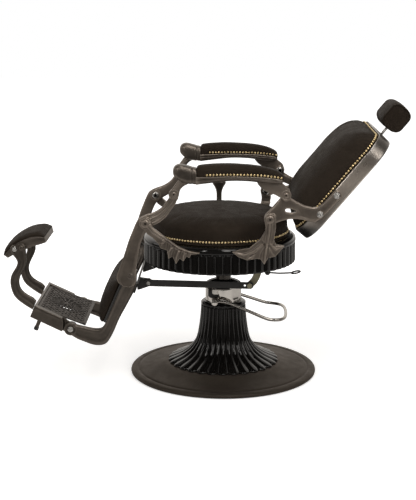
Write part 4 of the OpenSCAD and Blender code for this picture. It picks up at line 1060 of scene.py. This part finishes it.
def smoothstep(a, b, x):
    t = min(1.0, max(0.0, (x - a) / (b - a)))
    return t * t * (3 - 2 * t)


def roll(u):
    return max(0, math.sin(math.pi * u)) ** 0.6


def lever_front(k):
    """Heights across the outer face: three rolls by share k, a flat with a sunk middle by the rest."""
    run = []
    for t in np.linspace(0, 1, 33):
        e = min(t, 1 - t)
        rolls = 0.42 + (0.46 * roll(0.06 + e / 0.3 * 0.94) if e < 0.3 else 0.62 * roll((t - 0.3) / 0.4))
        flat = 0.35 + 0.65 * min(1, e / 0.16) ** 0.5 - 0.16 * smoothstep(0.17, 0.3, e)
        run.append((t, rolls * k + flat * (1 - k)))
    return run


rings = [casting_ring(s, LEVER_X + 6.5, 6.3, there_and_back(LEVER_BACK, lever_front(min(1, max(0, s[4])))))
         for s in stations(LEG, 4)]
pair("s_curved_leg_lever",
     joined(skin([shrunk(rings[0], 0.6), *rings, shrunk(rings[-1], 0.93), shrunk(rings[-1], 0.75)]),
            ring_boss(F0, 23, 6.2, 275.1, 288), ring_boss(F1, 17, 7.05, 275.1, 288)),
     "bronze", "leg", "leg_lever", 48)

# lower bar: it runs inward from the lever (share 1) to the footrest's pivot (share 0)
LEVER_BAR_X, PIVOT_BAR_X = LEVER_X - 12, 178
BAR = [
    ((-354, 446), (-298, 446), 1), ((-352, 420), (-300, 420), 1), ((-352, 391), (-303, 391), 0.894),
    ((-366.8, 357), (-315, 357), 0.706), ((-380.6, 325), (-331, 325), 0.529),
    ((-395.8, 290), (-348, 292), 0.353), ((-408, 262), (-362, 266), 0.224),
    ((-421, 232), (-377, 234), 0.118), ((-427, 221), (-390, 203), 0.071), ((-433, 214), (-405, 174), 0.035),
    ((-440, 210), (-421, 153), 0.012), ((-448, 209), (-445, 146), 0), ((-462, 209), (-471, 149), 0),
    ((-484, 213), (-500, 160), 0), ((-510, 219), (-524, 170), 0), ((-534, 225), (-546, 184), 0)]
BAR_RUN = [
    (0, 0.3), (0.02, 0.58), (0.06, 0.82), (0.12, 0.95), (0.2, 1), (0.26, 0.97), (0.31, 0.86), (0.36, 0.82),
    (0.5, 0.81), (0.64, 0.82), (0.69, 0.86), (0.74, 0.97), (0.8, 1), (0.88, 0.95), (0.94, 0.82),
    (0.98, 0.58), (1, 0.3)]
inner_run = [(t, min(1, q / 0.97) if 0.2 < t < 0.8 else q) for t, q in BAR_RUN]
section = there_and_back(inner_run, BAR_RUN)
rings = [casting_ring(s, PIVOT_BAR_X + (LEVER_BAR_X - PIVOT_BAR_X) * s[4], 12, section)
         for s in stations(BAR, 3)]
pair("lower_leg_frame",
     joined(skin([shrunk(rings[0], 0.8), shrunk(rings[0], 0.95), *rings, shrunk(rings[-1], 0.9)]),
            ring_boss(H0, 23, 6, PIVOT_BAR_X - 12, PIVOT_BAR_X + 12)),
     "low", "leg", "leg_frame", 48)

screws = piece("leg_frame_screws",
               both(shaft(H0, 6, 150, 191), button(H0, 10.6, 189.9, 5.4, 0.34), nut(H0, 10, 150, 155),
                    shaft(K0, 5, 245, 289, 24), washer(K0, 5, 12, 287.9, 1.6),
                    cross_button(K0, 9.4, 289.4, 4.4), nut(K0, 8, 245, 251)),
               "steel", "leg", "leg_bolts", angle=45)
second_finish(screws, "low", lambda c, n: abs(c.x) > 280)

# calf pad: a little wider at its top; rows (share of its outline, height off the board's plane)
calf = Slope(math.atan2(159, 69), -421, 232)
CALF_CROWN = [
    (0.5, 8.15), (0.93, 8.2), (0.975, 8.6), (0.992, 10), (0.998, 12.6), (1.0, 15.5), (0.992, 18.5),
    (0.978, 21.4), (0.955, 24.6), (0.925, 27.8), (0.885, 31), (0.83, 34.4), (0.76, 37.6), (0.67, 40.4),
    (0.56, 42.8), (0.43, 44.8), (0.29, 46), (0.13, 46.6)]
CALF_OUTLINE = [(x * (1 + d * 0.0013), d) for x, d in rounded_rectangle(207, 88, 26, 168)]


def calf_detail(co, no):
    _, n = calf.of(co[:, 1], co[:, 2])
    welt = np.where(n < 22, 0.7, 0) * np.exp(-((n - 13) / 2.2) ** 2)
    return welt + 1.3 * wrinkles(co * MM, 15.0, 8) * np.clip((n - 16) / 14, 0, 1)


soft("calf_pad_leather", [[calf.at(x * k, 80 + d * k, n) for x, d in CALF_OUTLINE] for k, n in CALF_CROWN],
     "leg", "calf_pad", range(5), 4, calf_detail)
piece("link_front_screws",
      both(shaft(B0, 5, 130, 154, 24), nut(B0, 8, 151.5, 155.5), shaft(B0, 7.4, 129.2, 132)),
      "steel", "leg", "link_pins", angle=45)

# ------------------------------------------------------------------ footrest

FRAME_RIDGE = [(-685, 272), (-668, 279), (-580, 238)]
rails = from_cad("foot_frame", 2.0, 3,
                 lambda Y, Z, X: 0.9 * np.exp(-(to_line(Y, Z, FRAME_RIDGE)[0] / 4.0) ** 2) * (X > 150))
place("footrest_side_rails", rails, "low", "footrest", "foot_frame", 0)

# pierced footplate: d runs down the plate from its top edge; its parts stand on FOOT_N and end near TOP_N
footplate = Slope(math.radians(-20.5), -667, 288.6)
PLATE_W, PLATE_L, MIDDLE, BORDER = 156, 186, 93, 9
FOOT_N, TOP_N = -12, -6


def bar(a, b, w, top, foot=FOOT_N):
    """Strip between two points of the plate plane with a rounded top."""
    a, b = np.array(a, float), np.array(b, float)
    t = (b - a) / np.linalg.norm(b - a)
    p = np.array([-t[1], t[0]])
    top += TOP_N
    half = [(-0.5, foot), (-0.5, top - 1.2), (-0.42, top - 0.5), (-0.22, top)]
    section = half + [(-u, n) for u, n in reversed(half)]
    return skin([[footplate.at(*(q + p * w * u), n) for u, n in section] for q in (a, (a + b) / 2, b)])


def border():
    """Edge strips of the plate, each with a thin bead inside it."""
    corners = [(-PLATE_W, 0), (PLATE_W, 0), (PLATE_W, PLATE_L), (-PLATE_W, PLATE_L)]
    for a, b in zip(corners, corners[1:] + corners[:1]):
        a, b = np.array(a, float), np.array(b, float)
        t = (b - a) / np.linalg.norm(b - a)
        p = np.array([-t[1], t[0]])
        yield bar(a + p * 5.5, b + p * 5.5, 11, 0.2)
        yield bar(a + p * 9 + t * 7, b + p * 9 - t * 7, 3.2, 1.4)


def diagonal(x0, s, r=63):
    """Parts of the diagonal through (x0, MIDDLE) inside the border and outside the medallion's circle."""
    reach_x, reach_d = PLATE_W - BORDER, MIDDLE - BORDER
    lo, hi = max(-reach_d, -reach_x - x0), min(reach_d, reach_x - x0)
    spans = []
    if hi > lo:
        root = math.sqrt(max(0, 2 * r * r - x0 * x0))
        cut, sliver = ((-x0 - root) / 2, (-x0 + root) / 2), 0.01 * (hi - lo)
        if not root:
            spans = [(lo, hi)]
        else:
            spans += [(lo, min(hi, cut[0]))] if cut[0] > lo + sliver else []
            spans += [(max(lo, cut[1]), hi)] if cut[1] < hi - sliver else []
    return [[(x0 + t, MIDDLE + s * t) for t in span] for span in spans]


def lattice():
    """Two sets of crossing diagonals, one a little below the other, each with an upright bar at one side."""
    for s, top, foot in ((-1, 0, FOOT_N + 0.3), (1, -0.4, FOOT_N)):
        for i in range(-10, 11):
            for a, b in diagonal(24 * i, s):
                yield bar(a, b, 5, top, foot)
        yield bar((s * 96, BORDER), (s * 96, PLATE_L - BORDER), 5.4, 0.6)


def turned(profile, n, loop=False):
    """Part turned round the middle of the plate, of a profile (radius, height off the plate's plane)."""
    return skin([[footplate.at(r * c, MIDDLE + r * s, h) for c, s in circle(n)] for r, h in profile], loop)


def hoop(r0, r1):
    """Flat ring of the plate with a raised bead along each edge."""
    beads = ((0, -0.6), (0.12, 1), (0.3, 1.2), (0.42, 0), (0.58, 0), (0.7, 1.2), (0.88, 1), (1, -0.6))
    profile = [(r0 + k * (r1 - r0), TOP_N + h) for k, h in beads]
    return turned([(r0, FOOT_N), *profile, (r1, FOOT_N)], 96, True)


# rows (distance from the middle, half width, height)
PETAL = [(8, 2.2, 0.2), (11, 3.0, 1.0), (15, 3.4, 1.6), (20, 3.4, 1.5), (24, 2.9, 0.9), (28.5, 2.2, 0)]


def petal(c, s):
    """Leaf of the medallion that points along (c, s), with a sunk middle vein."""
    rings = []
    for u, w, h in PETAL:
        half = [(-1, FOOT_N + 0.5), (-1, TOP_N - 1.4), (-0.82, TOP_N - 0.2 + 0.6 * h), (-0.4, TOP_N + h)]
        section = half + [(0, TOP_N - 0.3 + h)] + [(-v, n) for v, n in reversed(half)]
        rings.append([footplate.at(u * c - v * w * s, MIDDLE + u * s + v * w * c, n) for v, n in section])
    return skin(rings)


HUB = [(10.4, FOOT_N), (11, FOOT_N + 0.8), (11, TOP_N - 0.6), (10.2, TOP_N + 0.8), (8, TOP_N + 1.2),
       (6, TOP_N + 2.6), (2.4, TOP_N + 3.2)]
spokes = [bar((29 * c, MIDDLE + 29 * s), (63 * c, MIDDLE + 63 * s), 4.2, 0.4) for c, s in circle(20)]
petals = [petal(math.cos(a + math.radians(9)), math.sin(a + math.radians(9))) for a in angles(8)]
grille = piece("pierced_footplate",
               joined(*border(), *lattice(), hoop(60, 66), hoop(27, 32), *spokes,
                      turned(HUB, 40), *petals),
               "plate", "footrest", "foot_grille", angle=50)
# painted shade: faces that don't face up off the plate, the walls of its openings, get the near-black bronze
second_finish(grille, "wall_shade", lambda c, n: n.z * footplate.c - n.y * footplate.s < 0.55)

buffer = Slope(math.radians(-23), -660, 236)
BUFFER = [
    (-40, 6.8), (-39.4, 7.8), (-38, 8.5), (-28, 8.5), (-26.6, 8.1), (-26, 7.2), (-24, 7), (1, 7), (2, 6.2)]
stops = piece("footplate_stop_buffers",
              joined(*(skin([[buffer.at(x + r * c, r * s, n) for c, s in circle(32)] for n, r in BUFFER])
                       for x in (-168, 168))), "low", "footrest", "foot_stops", angle=45)
second_finish(stops, "black", lambda c, n: buffer.of(c.y, c.z)[1] < -27)

ARM = [
    ((-694, 258), (-679, 291)), ((-712, 269), (-691, 304)), ((-732, 283), (-707, 313)),
    ((-748, 296), (-720, 322)), ((-760, 311), (-730, 332)), ((-767, 328), (-736, 343)),
    ((-771, 346), (-739, 355)), ((-772, 364), (-739, 368)), ((-768, 385), (-735, 383)),
    ((-758, 404), (-727, 400)), ((-748, 420), (-719, 416)), ((-744, 436), (-712, 436)),
    ((-752, 452), (-712, 456)), ((-765, 470), (-712, 478)), ((-768, 488), (-714, 496)),
    ((-760, 498), (-722, 504))]
ARM_RUN = [
    (0, 0.25), (0.03, 0.56), (0.09, 0.8), (0.17, 0.9), (0.24, 0.84), (0.3, 0.8), (0.38, 0.92), (0.5, 1),
    (0.62, 0.92), (0.7, 0.8), (0.76, 0.84), (0.83, 0.9), (0.91, 0.8), (0.97, 0.56), (1, 0.25)]
arm = loft([(*edges, 108, 15) for edges in ARM], there_and_back(ARM_RUN, ARM_RUN), 3, (0.4, 0.8))
piece("curved_arm_left", arm, "low", "footrest", "foot_arms", angle=50)
piece("curved_arm_right", flipped(arm), "low", "footrest", "foot_arms", angle=50)

forms = [form for p in ((-752, 484), (-728, 489)) for form in (
    shaft(p, 4, 87, 117, 24), washer(p, 4, 9, 115.2, 1.3), cross_button(p, 7.4, 116.5, 3.6))]
screws = piece("foot_pad_screws", both(*forms), "steel", "footrest", "foot_bolts", angle=45)
second_finish(screws, "low", lambda c, n: c.y > -739.5)

PAD_TOP = [(-794, 458), (-776, 479), (-752, 499), (-726, 514), (-698, 524), (-670, 528), (-645, 526)]
PAD_FOOT = [(-780, 448), (-762, 458), (-742, 468), (-718, 479), (-692, 490), (-664, 498), (-640, 506)]
piece("foot_pad_pan", plate(catmull(PAD_TOP, 4) + catmull(PAD_FOOT, 4)[::-1], -100.5, 100.5, 2.2),
      "low", "footrest", "foot_pad_shell", angle=42)

# leather foot pad: crowned across and along, rolled over a welt at its rim
PAD_LINE = catmull(PAD_TOP, 6)
# rows (place across the pad, height of its crown there)
PAD_LIFT = [
    (-99.9, 2.4), (-100.3, 4.5), (-99.6, 6.6), (-97.5, 8.2), (-95, 8.6), (-91, 10.4), (-84, 12.2),
    (-72, 13.4), (-52, 14.2), (-26, 14.7)]


def foot_ring(x, lift):
    """Closed ring round the pad at one place across it: back along its underside, forward over its crown."""
    top, last = [], len(PAD_LINE) - 1
    for j, p in enumerate(PAD_LINE):
        t = PAD_LINE[min(j + 1, last)] - PAD_LINE[max(j - 1, 0)]
        t /= np.linalg.norm(t)
        u = j / last
        edge = min(1.0, math.sin(math.pi / 2 * min(1, min(u, 1 - u) / 0.2)) ** 0.8)
        h = lift * (0.30 + 0.70 * edge) + 1.6 * math.sin(math.pi * u) * (lift / 14)
        top.append((x, p[0] - t[1] * h, p[1] + t[0] * h))
    return [(x, p[0], p[1] + 0.05) for p in PAD_LINE] + top[::-1]


def foot_detail(co, no):
    e = np.abs(co[:, 0])
    return 1.1 * wrinkles(co * MM, 20.0, 12) * np.clip((98 - e) / 14, 0, 1) * (no[:, 2] > 0.2)


across = PAD_LIFT + [(0, 14.9)] + [(-x, lift) for x, lift in reversed(PAD_LIFT)]
soft("foot_pad_leather", [foot_ring(x, lift) for x, lift in across], "footrest", "foot_pad", range(-4, 4),
     1.5, foot_detail, pressure=1.5)

# ------------------------------------------------------------------ armrests

ARMREST_X = 280
# rows (y, low, high, half width) of the knob at its front
KNOB = [
    (-170.4, 790, 803, 13), (-169.6, 785, 808, 18), (-167, 780, 814, 22), (-163, 775, 819, 25.5),
    (-157, 769.5, 823.5, 27.6), (-149, 763.5, 826, 28.6), (-139, 758.4, 825.8, 29),
    (-128, 754.8, 823.2, 29), (-118, 753, 820.6, 29), (-110, 751.9, 818.2, 28.9),
    (-107, 752.4, 816.6, 28.2), (-105, 752.8, 815.6, 27.9), (-103, 752.2, 816, 28.5),
    (-100, 751.5, 815.6, 29), (-95, 751.2, 814, 29), (-92.4, 751.4, 813, 28.8), (-90.9, 752.4, 812, 28),
    (-90.5, 754, 810, 26)]
KNOB_HEIGHT, KNOB_ROUND = 0.91, 0.62
# rows (y, low, high, half width) of the rail behind it
RAIL = [
    (-92, 751.4, 778.2, 29), (-48, 757, 779.2, 29), (24, 765, 781.2, 29), (88, 764, 780.2, 29),
    (130, 759, 778.2, 29), (168, 755.2, 774.8, 29), (190, 754.8, 771.2, 29), (199, 756.4, 769.4, 28),
    (203, 759, 768, 26), (204, 761, 766.6, 24)]


def knob_ring(y, low, high, half):
    """Ring across the knob: a rounded block between two heights."""
    block = [[math.copysign(abs(q) ** KNOB_ROUND, q) for q in point] for point in circle(40)]
    return [(ARMREST_X + half * u, y, (low + high) / 2 + (high - low) / 2 * v) for u, v in block]


def rail_side(t):
    """Share of the half width and of the height, from the rail's rolled top edge down to its foot."""
    if t < 0.34:
        u = t / 0.34
        return 0.955 + 0.045 * math.sin(math.pi * min(1, u * 0.9 + 0.1)), 1 - 0.34 * u
    u = (t - 0.34) / 0.66
    return 0.94 - 0.22 * u ** 2.2 + 0.05 * math.sin(math.pi * min(1, u * 1.3)), 0.66 - 0.66 * u


RAIL_SIDE = [rail_side(i / 14) for i in range(15)]
RAIL_SECTION = RAIL_SIDE + [(-q, v) for q, v in reversed(RAIL_SIDE)]
FRONT_LUG = [
    (-186, 717), (-184, 706), (-176, 700), (-160, 700), (-151, 710), (-147, 732), (-136, 745), (-112, 757),
    (-112, 770), (-150, 770), (-168, 745), (-179, 728)]
REAR_LUG = [
    (112, 768), (119, 752), (133, 737), (152, 725), (176, 718), (200, 704), (215, 698), (229, 706),
    (233, 718), (226, 738), (208, 752), (190, 768)]
knob = catmull([(y, low, low + (high - low) * KNOB_HEIGHT, half) for y, low, high, half in KNOB], 2)
rail = [[(ARMREST_X + half * q, y, low + (high - low) * v) for q, v in RAIL_SECTION]
        for y, low, high, half in catmull(RAIL, 5)]
pair("armrest_rail",
     joined(skin([knob_ring(*s) for s in knob]), skin(rail),
            *(plate(fillet(lug, 7), 289, 297, 1.2) for lug in (FRONT_LUG, REAR_LUG)),
            *(ring_boss(p, 18, 6, 289, 297.4) for p in (F1, R1))),
     "bronze", "armrests", "armrest", 48)

forms = [form for p in (F1, R1) for form in (
    shaft(p, 6, 265, 297), button(p, 9.6, 296.4, 4.0, 0.36), nut(p, 10, 265, 271.5),
    washer(p, 6, 12.4, 271.6, 1.6))]
screws = piece("armrest_pivot_screws", both(*forms), "steel", "armrests", "arm_pins", angle=45)
second_finish(screws, "bronze", lambda c, n: abs(c.x) > 295)

# rows (y, low, high, half width) of the leather, and half of its section (share across, share of height)
PAD = [
    (-90.2, 779, 815, 26), (-89, 779, 819.5, 27.6), (-86, 779, 823.5, 29), (-80, 779.1, 826.4, 29.7),
    (-60, 779.5, 829.6, 30), (-38, 780, 831.6, 30), (-14, 780.7, 832.7, 30), (12, 781.4, 833, 30),
    (38, 781.4, 832.4, 30), (64, 781, 830.9, 30), (88, 780.6, 828.8, 30), (110, 779.8, 826, 30),
    (132, 778.7, 822.4, 30), (152, 776.6, 817.6, 30), (168, 774.8, 812.4, 30), (180, 773.2, 807, 29.8),
    (190, 771.7, 801, 29.2), (197, 770.5, 795.4, 28.2), (201.5, 769.8, 790, 27), (204.4, 769.4, 784, 25),
    (205.2, 769.2, 778, 22)]
HALF_PAD = [
    (0.93, 0.0), (0.985, 0.03), (1.0, 0.09), (1.0, 0.16), (1.012, 0.27), (1.02, 0.4), (1.012, 0.53),
    (0.985, 0.66), (0.935, 0.775), (0.86, 0.865), (0.75, 0.93), (0.6, 0.972), (0.42, 0.993), (0.22, 1.0)]
PAD_SECTION = (HALF_PAD + [(0, 1.004)] + [(-q, v) for q, v in reversed(HALF_PAD)]
               + [(-0.5, -0.004), (0, -0.004), (0.5, -0.004)])
# share of the rows' height that the leather takes up, and its gap over the rail
PAD_SHARE, PAD_CLEAR = 0.78, 0.15
ARM_NAILS, ARM_PITCH, ARM_FIRST = 23, 11.5, -55


def pad_edge(y):
    """Half width and foot height of the leather at y."""
    rows = np.array(PAD)
    return np.interp(y, rows[:, 0], rows[:, 3]), np.interp(y, rows[:, 0], rows[:, 1])


def arm_detail(co, no):
    h = co[:, 2] - pad_edge(co[:, 1])[1]
    side = (np.abs(no[:, 0]) > 0.3) & (h > 2)
    pull = np.where(side, np.exp(-(np.maximum(h - 7, 0) / 9)), 0)
    pull *= nail_pull((co[:, 1] - ARM_FIRST) / ARM_PITCH)
    return 0.8 * wrinkles(co * MM, 24.0, 15) * np.clip(h / 30, 0, 1) - pull


for s, tag in ((1, "left"), (-1, "right")):
    rings = [[(s * (ARMREST_X + q * half), y, low + PAD_CLEAR + (high - low) * PAD_SHARE * v)
              for q, v in PAD_SECTION] for y, low, high, half in catmull(PAD, 3)]
    soft("arm_pad_leather_" + tag, rings, "armrests", "arm_pad_" + tag, range(-2, 2), 1.5, arm_detail,
         pressure=2.0)

nails = []
for s in (-1, 1):
    for y in (ARM_FIRST + ARM_PITCH * i for i in range(ARM_NAILS)):
        w, z = pad_edge(y)
        nails += [((s * ARMREST_X + k * (w - 0.2), y, z + 6.6), (k, 0, 0.08)) for k in (-1, 1)]
piece("armrest_nailheads", domes(nails, 4.2, 3.0), "brass", "armrests", "arm_nails", angle=50)

# ------------------------------------------------------------------ CAD parts shown as they are

# node, finish and the width in mm that its edges are eased by
for node, mat, width in (
        ("seat_pan", "black", 0), ("seat_spider", "black", 0),
        ("seat_board", "wood", 0), ("back_panel", "wood", 0),
        ("rocker_hangers", "black", 0.8), ("rod_bracket", "black", 0.8), ("lever_block", "black", 1.0),
        ("leg_cross_bar", "black", 1.0), ("calf_board", "black", 1.0), ("link_bars", "black", 1.0),
        ("headrest_socket", "chrome", 1.0), ("rockers", "zinc", 1.2)):
    NODES[node].data.materials.clear()
    NODES[node].data.materials.append(MAT[mat])
    if width:
        mod = NODES[node].modifiers.new("eased", "BEVEL")
        mod.width = width * MM
        mod.segments = 2
        mod.limit_method = "ANGLE"
        mod.angle_limit = math.radians(40)

# ------------------------------------------------------------------ floor, backdrop, lights, camera


def ray_share(t, *names):
    """1 for rays of the kinds named, else 0."""
    path = add(t, "LightPath")
    share = path.outputs[names[0]]
    for name in names[1:]:
        share = add(t, "Math", share, path.outputs[name], operation="MAXIMUM").outputs[0]
    return share


def stage_material():
    """Matt white that glows to the camera, more so further from the chair."""
    m = bpy.data.materials.new("studio_white")
    m.use_nodes = True
    t = m.node_tree
    t.nodes.clear()
    far = add(t, "VectorMath", add(t, "TexCoord").outputs["Object"], operation="LENGTH").outputs["Value"]
    away = add(t, "MapRange", Value=far, From_Min=0.3, From_Max=1.9, To_Min=0.55, To_Max=1.0)
    away.interpolation_type = "SMOOTHSTEP"
    glow = add(t, "Emission", Strength=product(t, ray_share(t, "Is Camera Ray"), away.outputs[0], "Math"))
    matt = add(t, "BsdfDiffuse", Color=rgb(0.8, 0.8, 0.8))
    add(t, "OutputMaterial", Surface=add(t, "AddShader", matt.outputs[0], glow.outputs[0]).outputs[0])
    return m


FAR, FRONT, FLOOR_Z = 14.0, 1.35, -0.0005
corners = [(-FAR, -FAR), (FRONT, -FAR), (FRONT, FAR), (-FAR, FAR)]
me = bpy.data.meshes.new("studio_floor")
me.from_pydata([(x, y, FLOOR_Z) for x, y in corners], [], [(0, 1, 2, 3)])
me.materials.append(stage_material())
floor = bpy.data.objects.new("studio_floor", me)
bpy.context.scene.collection.objects.link(floor)

world = bpy.data.worlds.new("studio")
bpy.context.scene.world = world
world.use_nodes = True
room = world.node_tree
room.nodes.clear()
view = add(room, "SeparateXYZ", add(room, "TexCoord").outputs["Generated"])


def sky(axis, stops, strength):
    """Background whose brightness runs along one axis of the view direction."""
    along = add(room, "MapRange", Value=view.outputs[axis], From_Min=-1).outputs["Result"]
    warm = [(position, (v, v * 0.95, v * 0.89)) for position, v in stops]
    return add(room, "Background", Color=ramp(room, along, warm), Strength=strength).outputs[0]


def mixed(share, a, b):
    return add(room, "MixShader", share, a, b).outputs[0]


soft_light = sky("Z", [(0.45, 0.22), (0.95, 1.0)], 0.46)
gloss = sky("X", [(0.0, 1.0), (0.14, 0.9), (0.34, 0.3), (0.5, 0.1), (0.8, 0.06), (1.0, 0.12)], 1.0)
backdrop = add(room, "Background", Color=rgb(1, 1, 1), Strength=1.0).outputs[0]
shown = mixed(ray_share(room, "Is Glossy Ray", "Is Transmission Ray"), soft_light, gloss)
add(room, "OutputWorld", Surface=mixed(ray_share(room, "Is Camera Ray"), shown, backdrop))


def turned_to(ob, direction):
    """Points a lamp or camera along a direction."""
    ob.rotation_euler = Vector(direction).to_track_quat("-Z", "Y").to_euler()
    bpy.context.scene.collection.objects.link(ob)


# name, place, aim, size and power of each softbox
for name, where, aim, size, power in (
        ("key_overhead", (2.5, 0.5, 2.8), (0, 0, 0.5), (0.5, 2.6), 22),
        ("key_top", (1.0, 0.5, 3.3), (0, 0, 0.5), (0.6, 2.6), 20),
        ("front_fill", (2.4, -2.8, 1.6), (0, 0, 0.5), (1.6, 2.2), 6),
        ("rear_fill", (2.4, 2.6, 2.0), (0, 0.2, 0.7), (1.6, 2.2), 20),
        ("far_rim", (-3.0, 0.2, 1.8), (0, 0, 0.6), (2.6, 1.6), 16),
        ("front_wall", (-0.4, -3.4, 1.9), (0, 0, 0.6), (2.4, 1.6), 14),
        ("strip", (2.6, -1.1, 2.0), (0, 0, 0.5), (0.22, 1.5), 11),
        ("rear_strip", (2.2, 1.7, 2.1), (0, 0, 0.5), (0.16, 1.5), 6)):
    lamp = bpy.data.lights.new(name, "AREA")
    lamp.shape = "RECTANGLE"
    lamp.size, lamp.size_y = size
    lamp.energy = power
    lamp.color = (1, 0.965, 0.925)
    ob = bpy.data.objects.new(name, lamp)
    ob.location = where
    ob.visible_glossy = name != "far_rim"
    turned_to(ob, Vector(aim) - Vector(where))

PITCH, YAW = 0.2154, -0.02
lens = bpy.data.cameras.new("camera")
lens.lens = 88.7
lens.sensor_width = 36
camera = bpy.data.objects.new("camera", lens)
camera.location = (4.4362, 0.0317, 1.4301)
turned_to(camera, (-math.cos(PITCH) * math.cos(YAW), math.cos(PITCH) * math.sin(YAW), -math.sin(PITCH)))
scene = bpy.context.scene
scene.camera = camera
scene.view_settings.view_transform = "Standard"
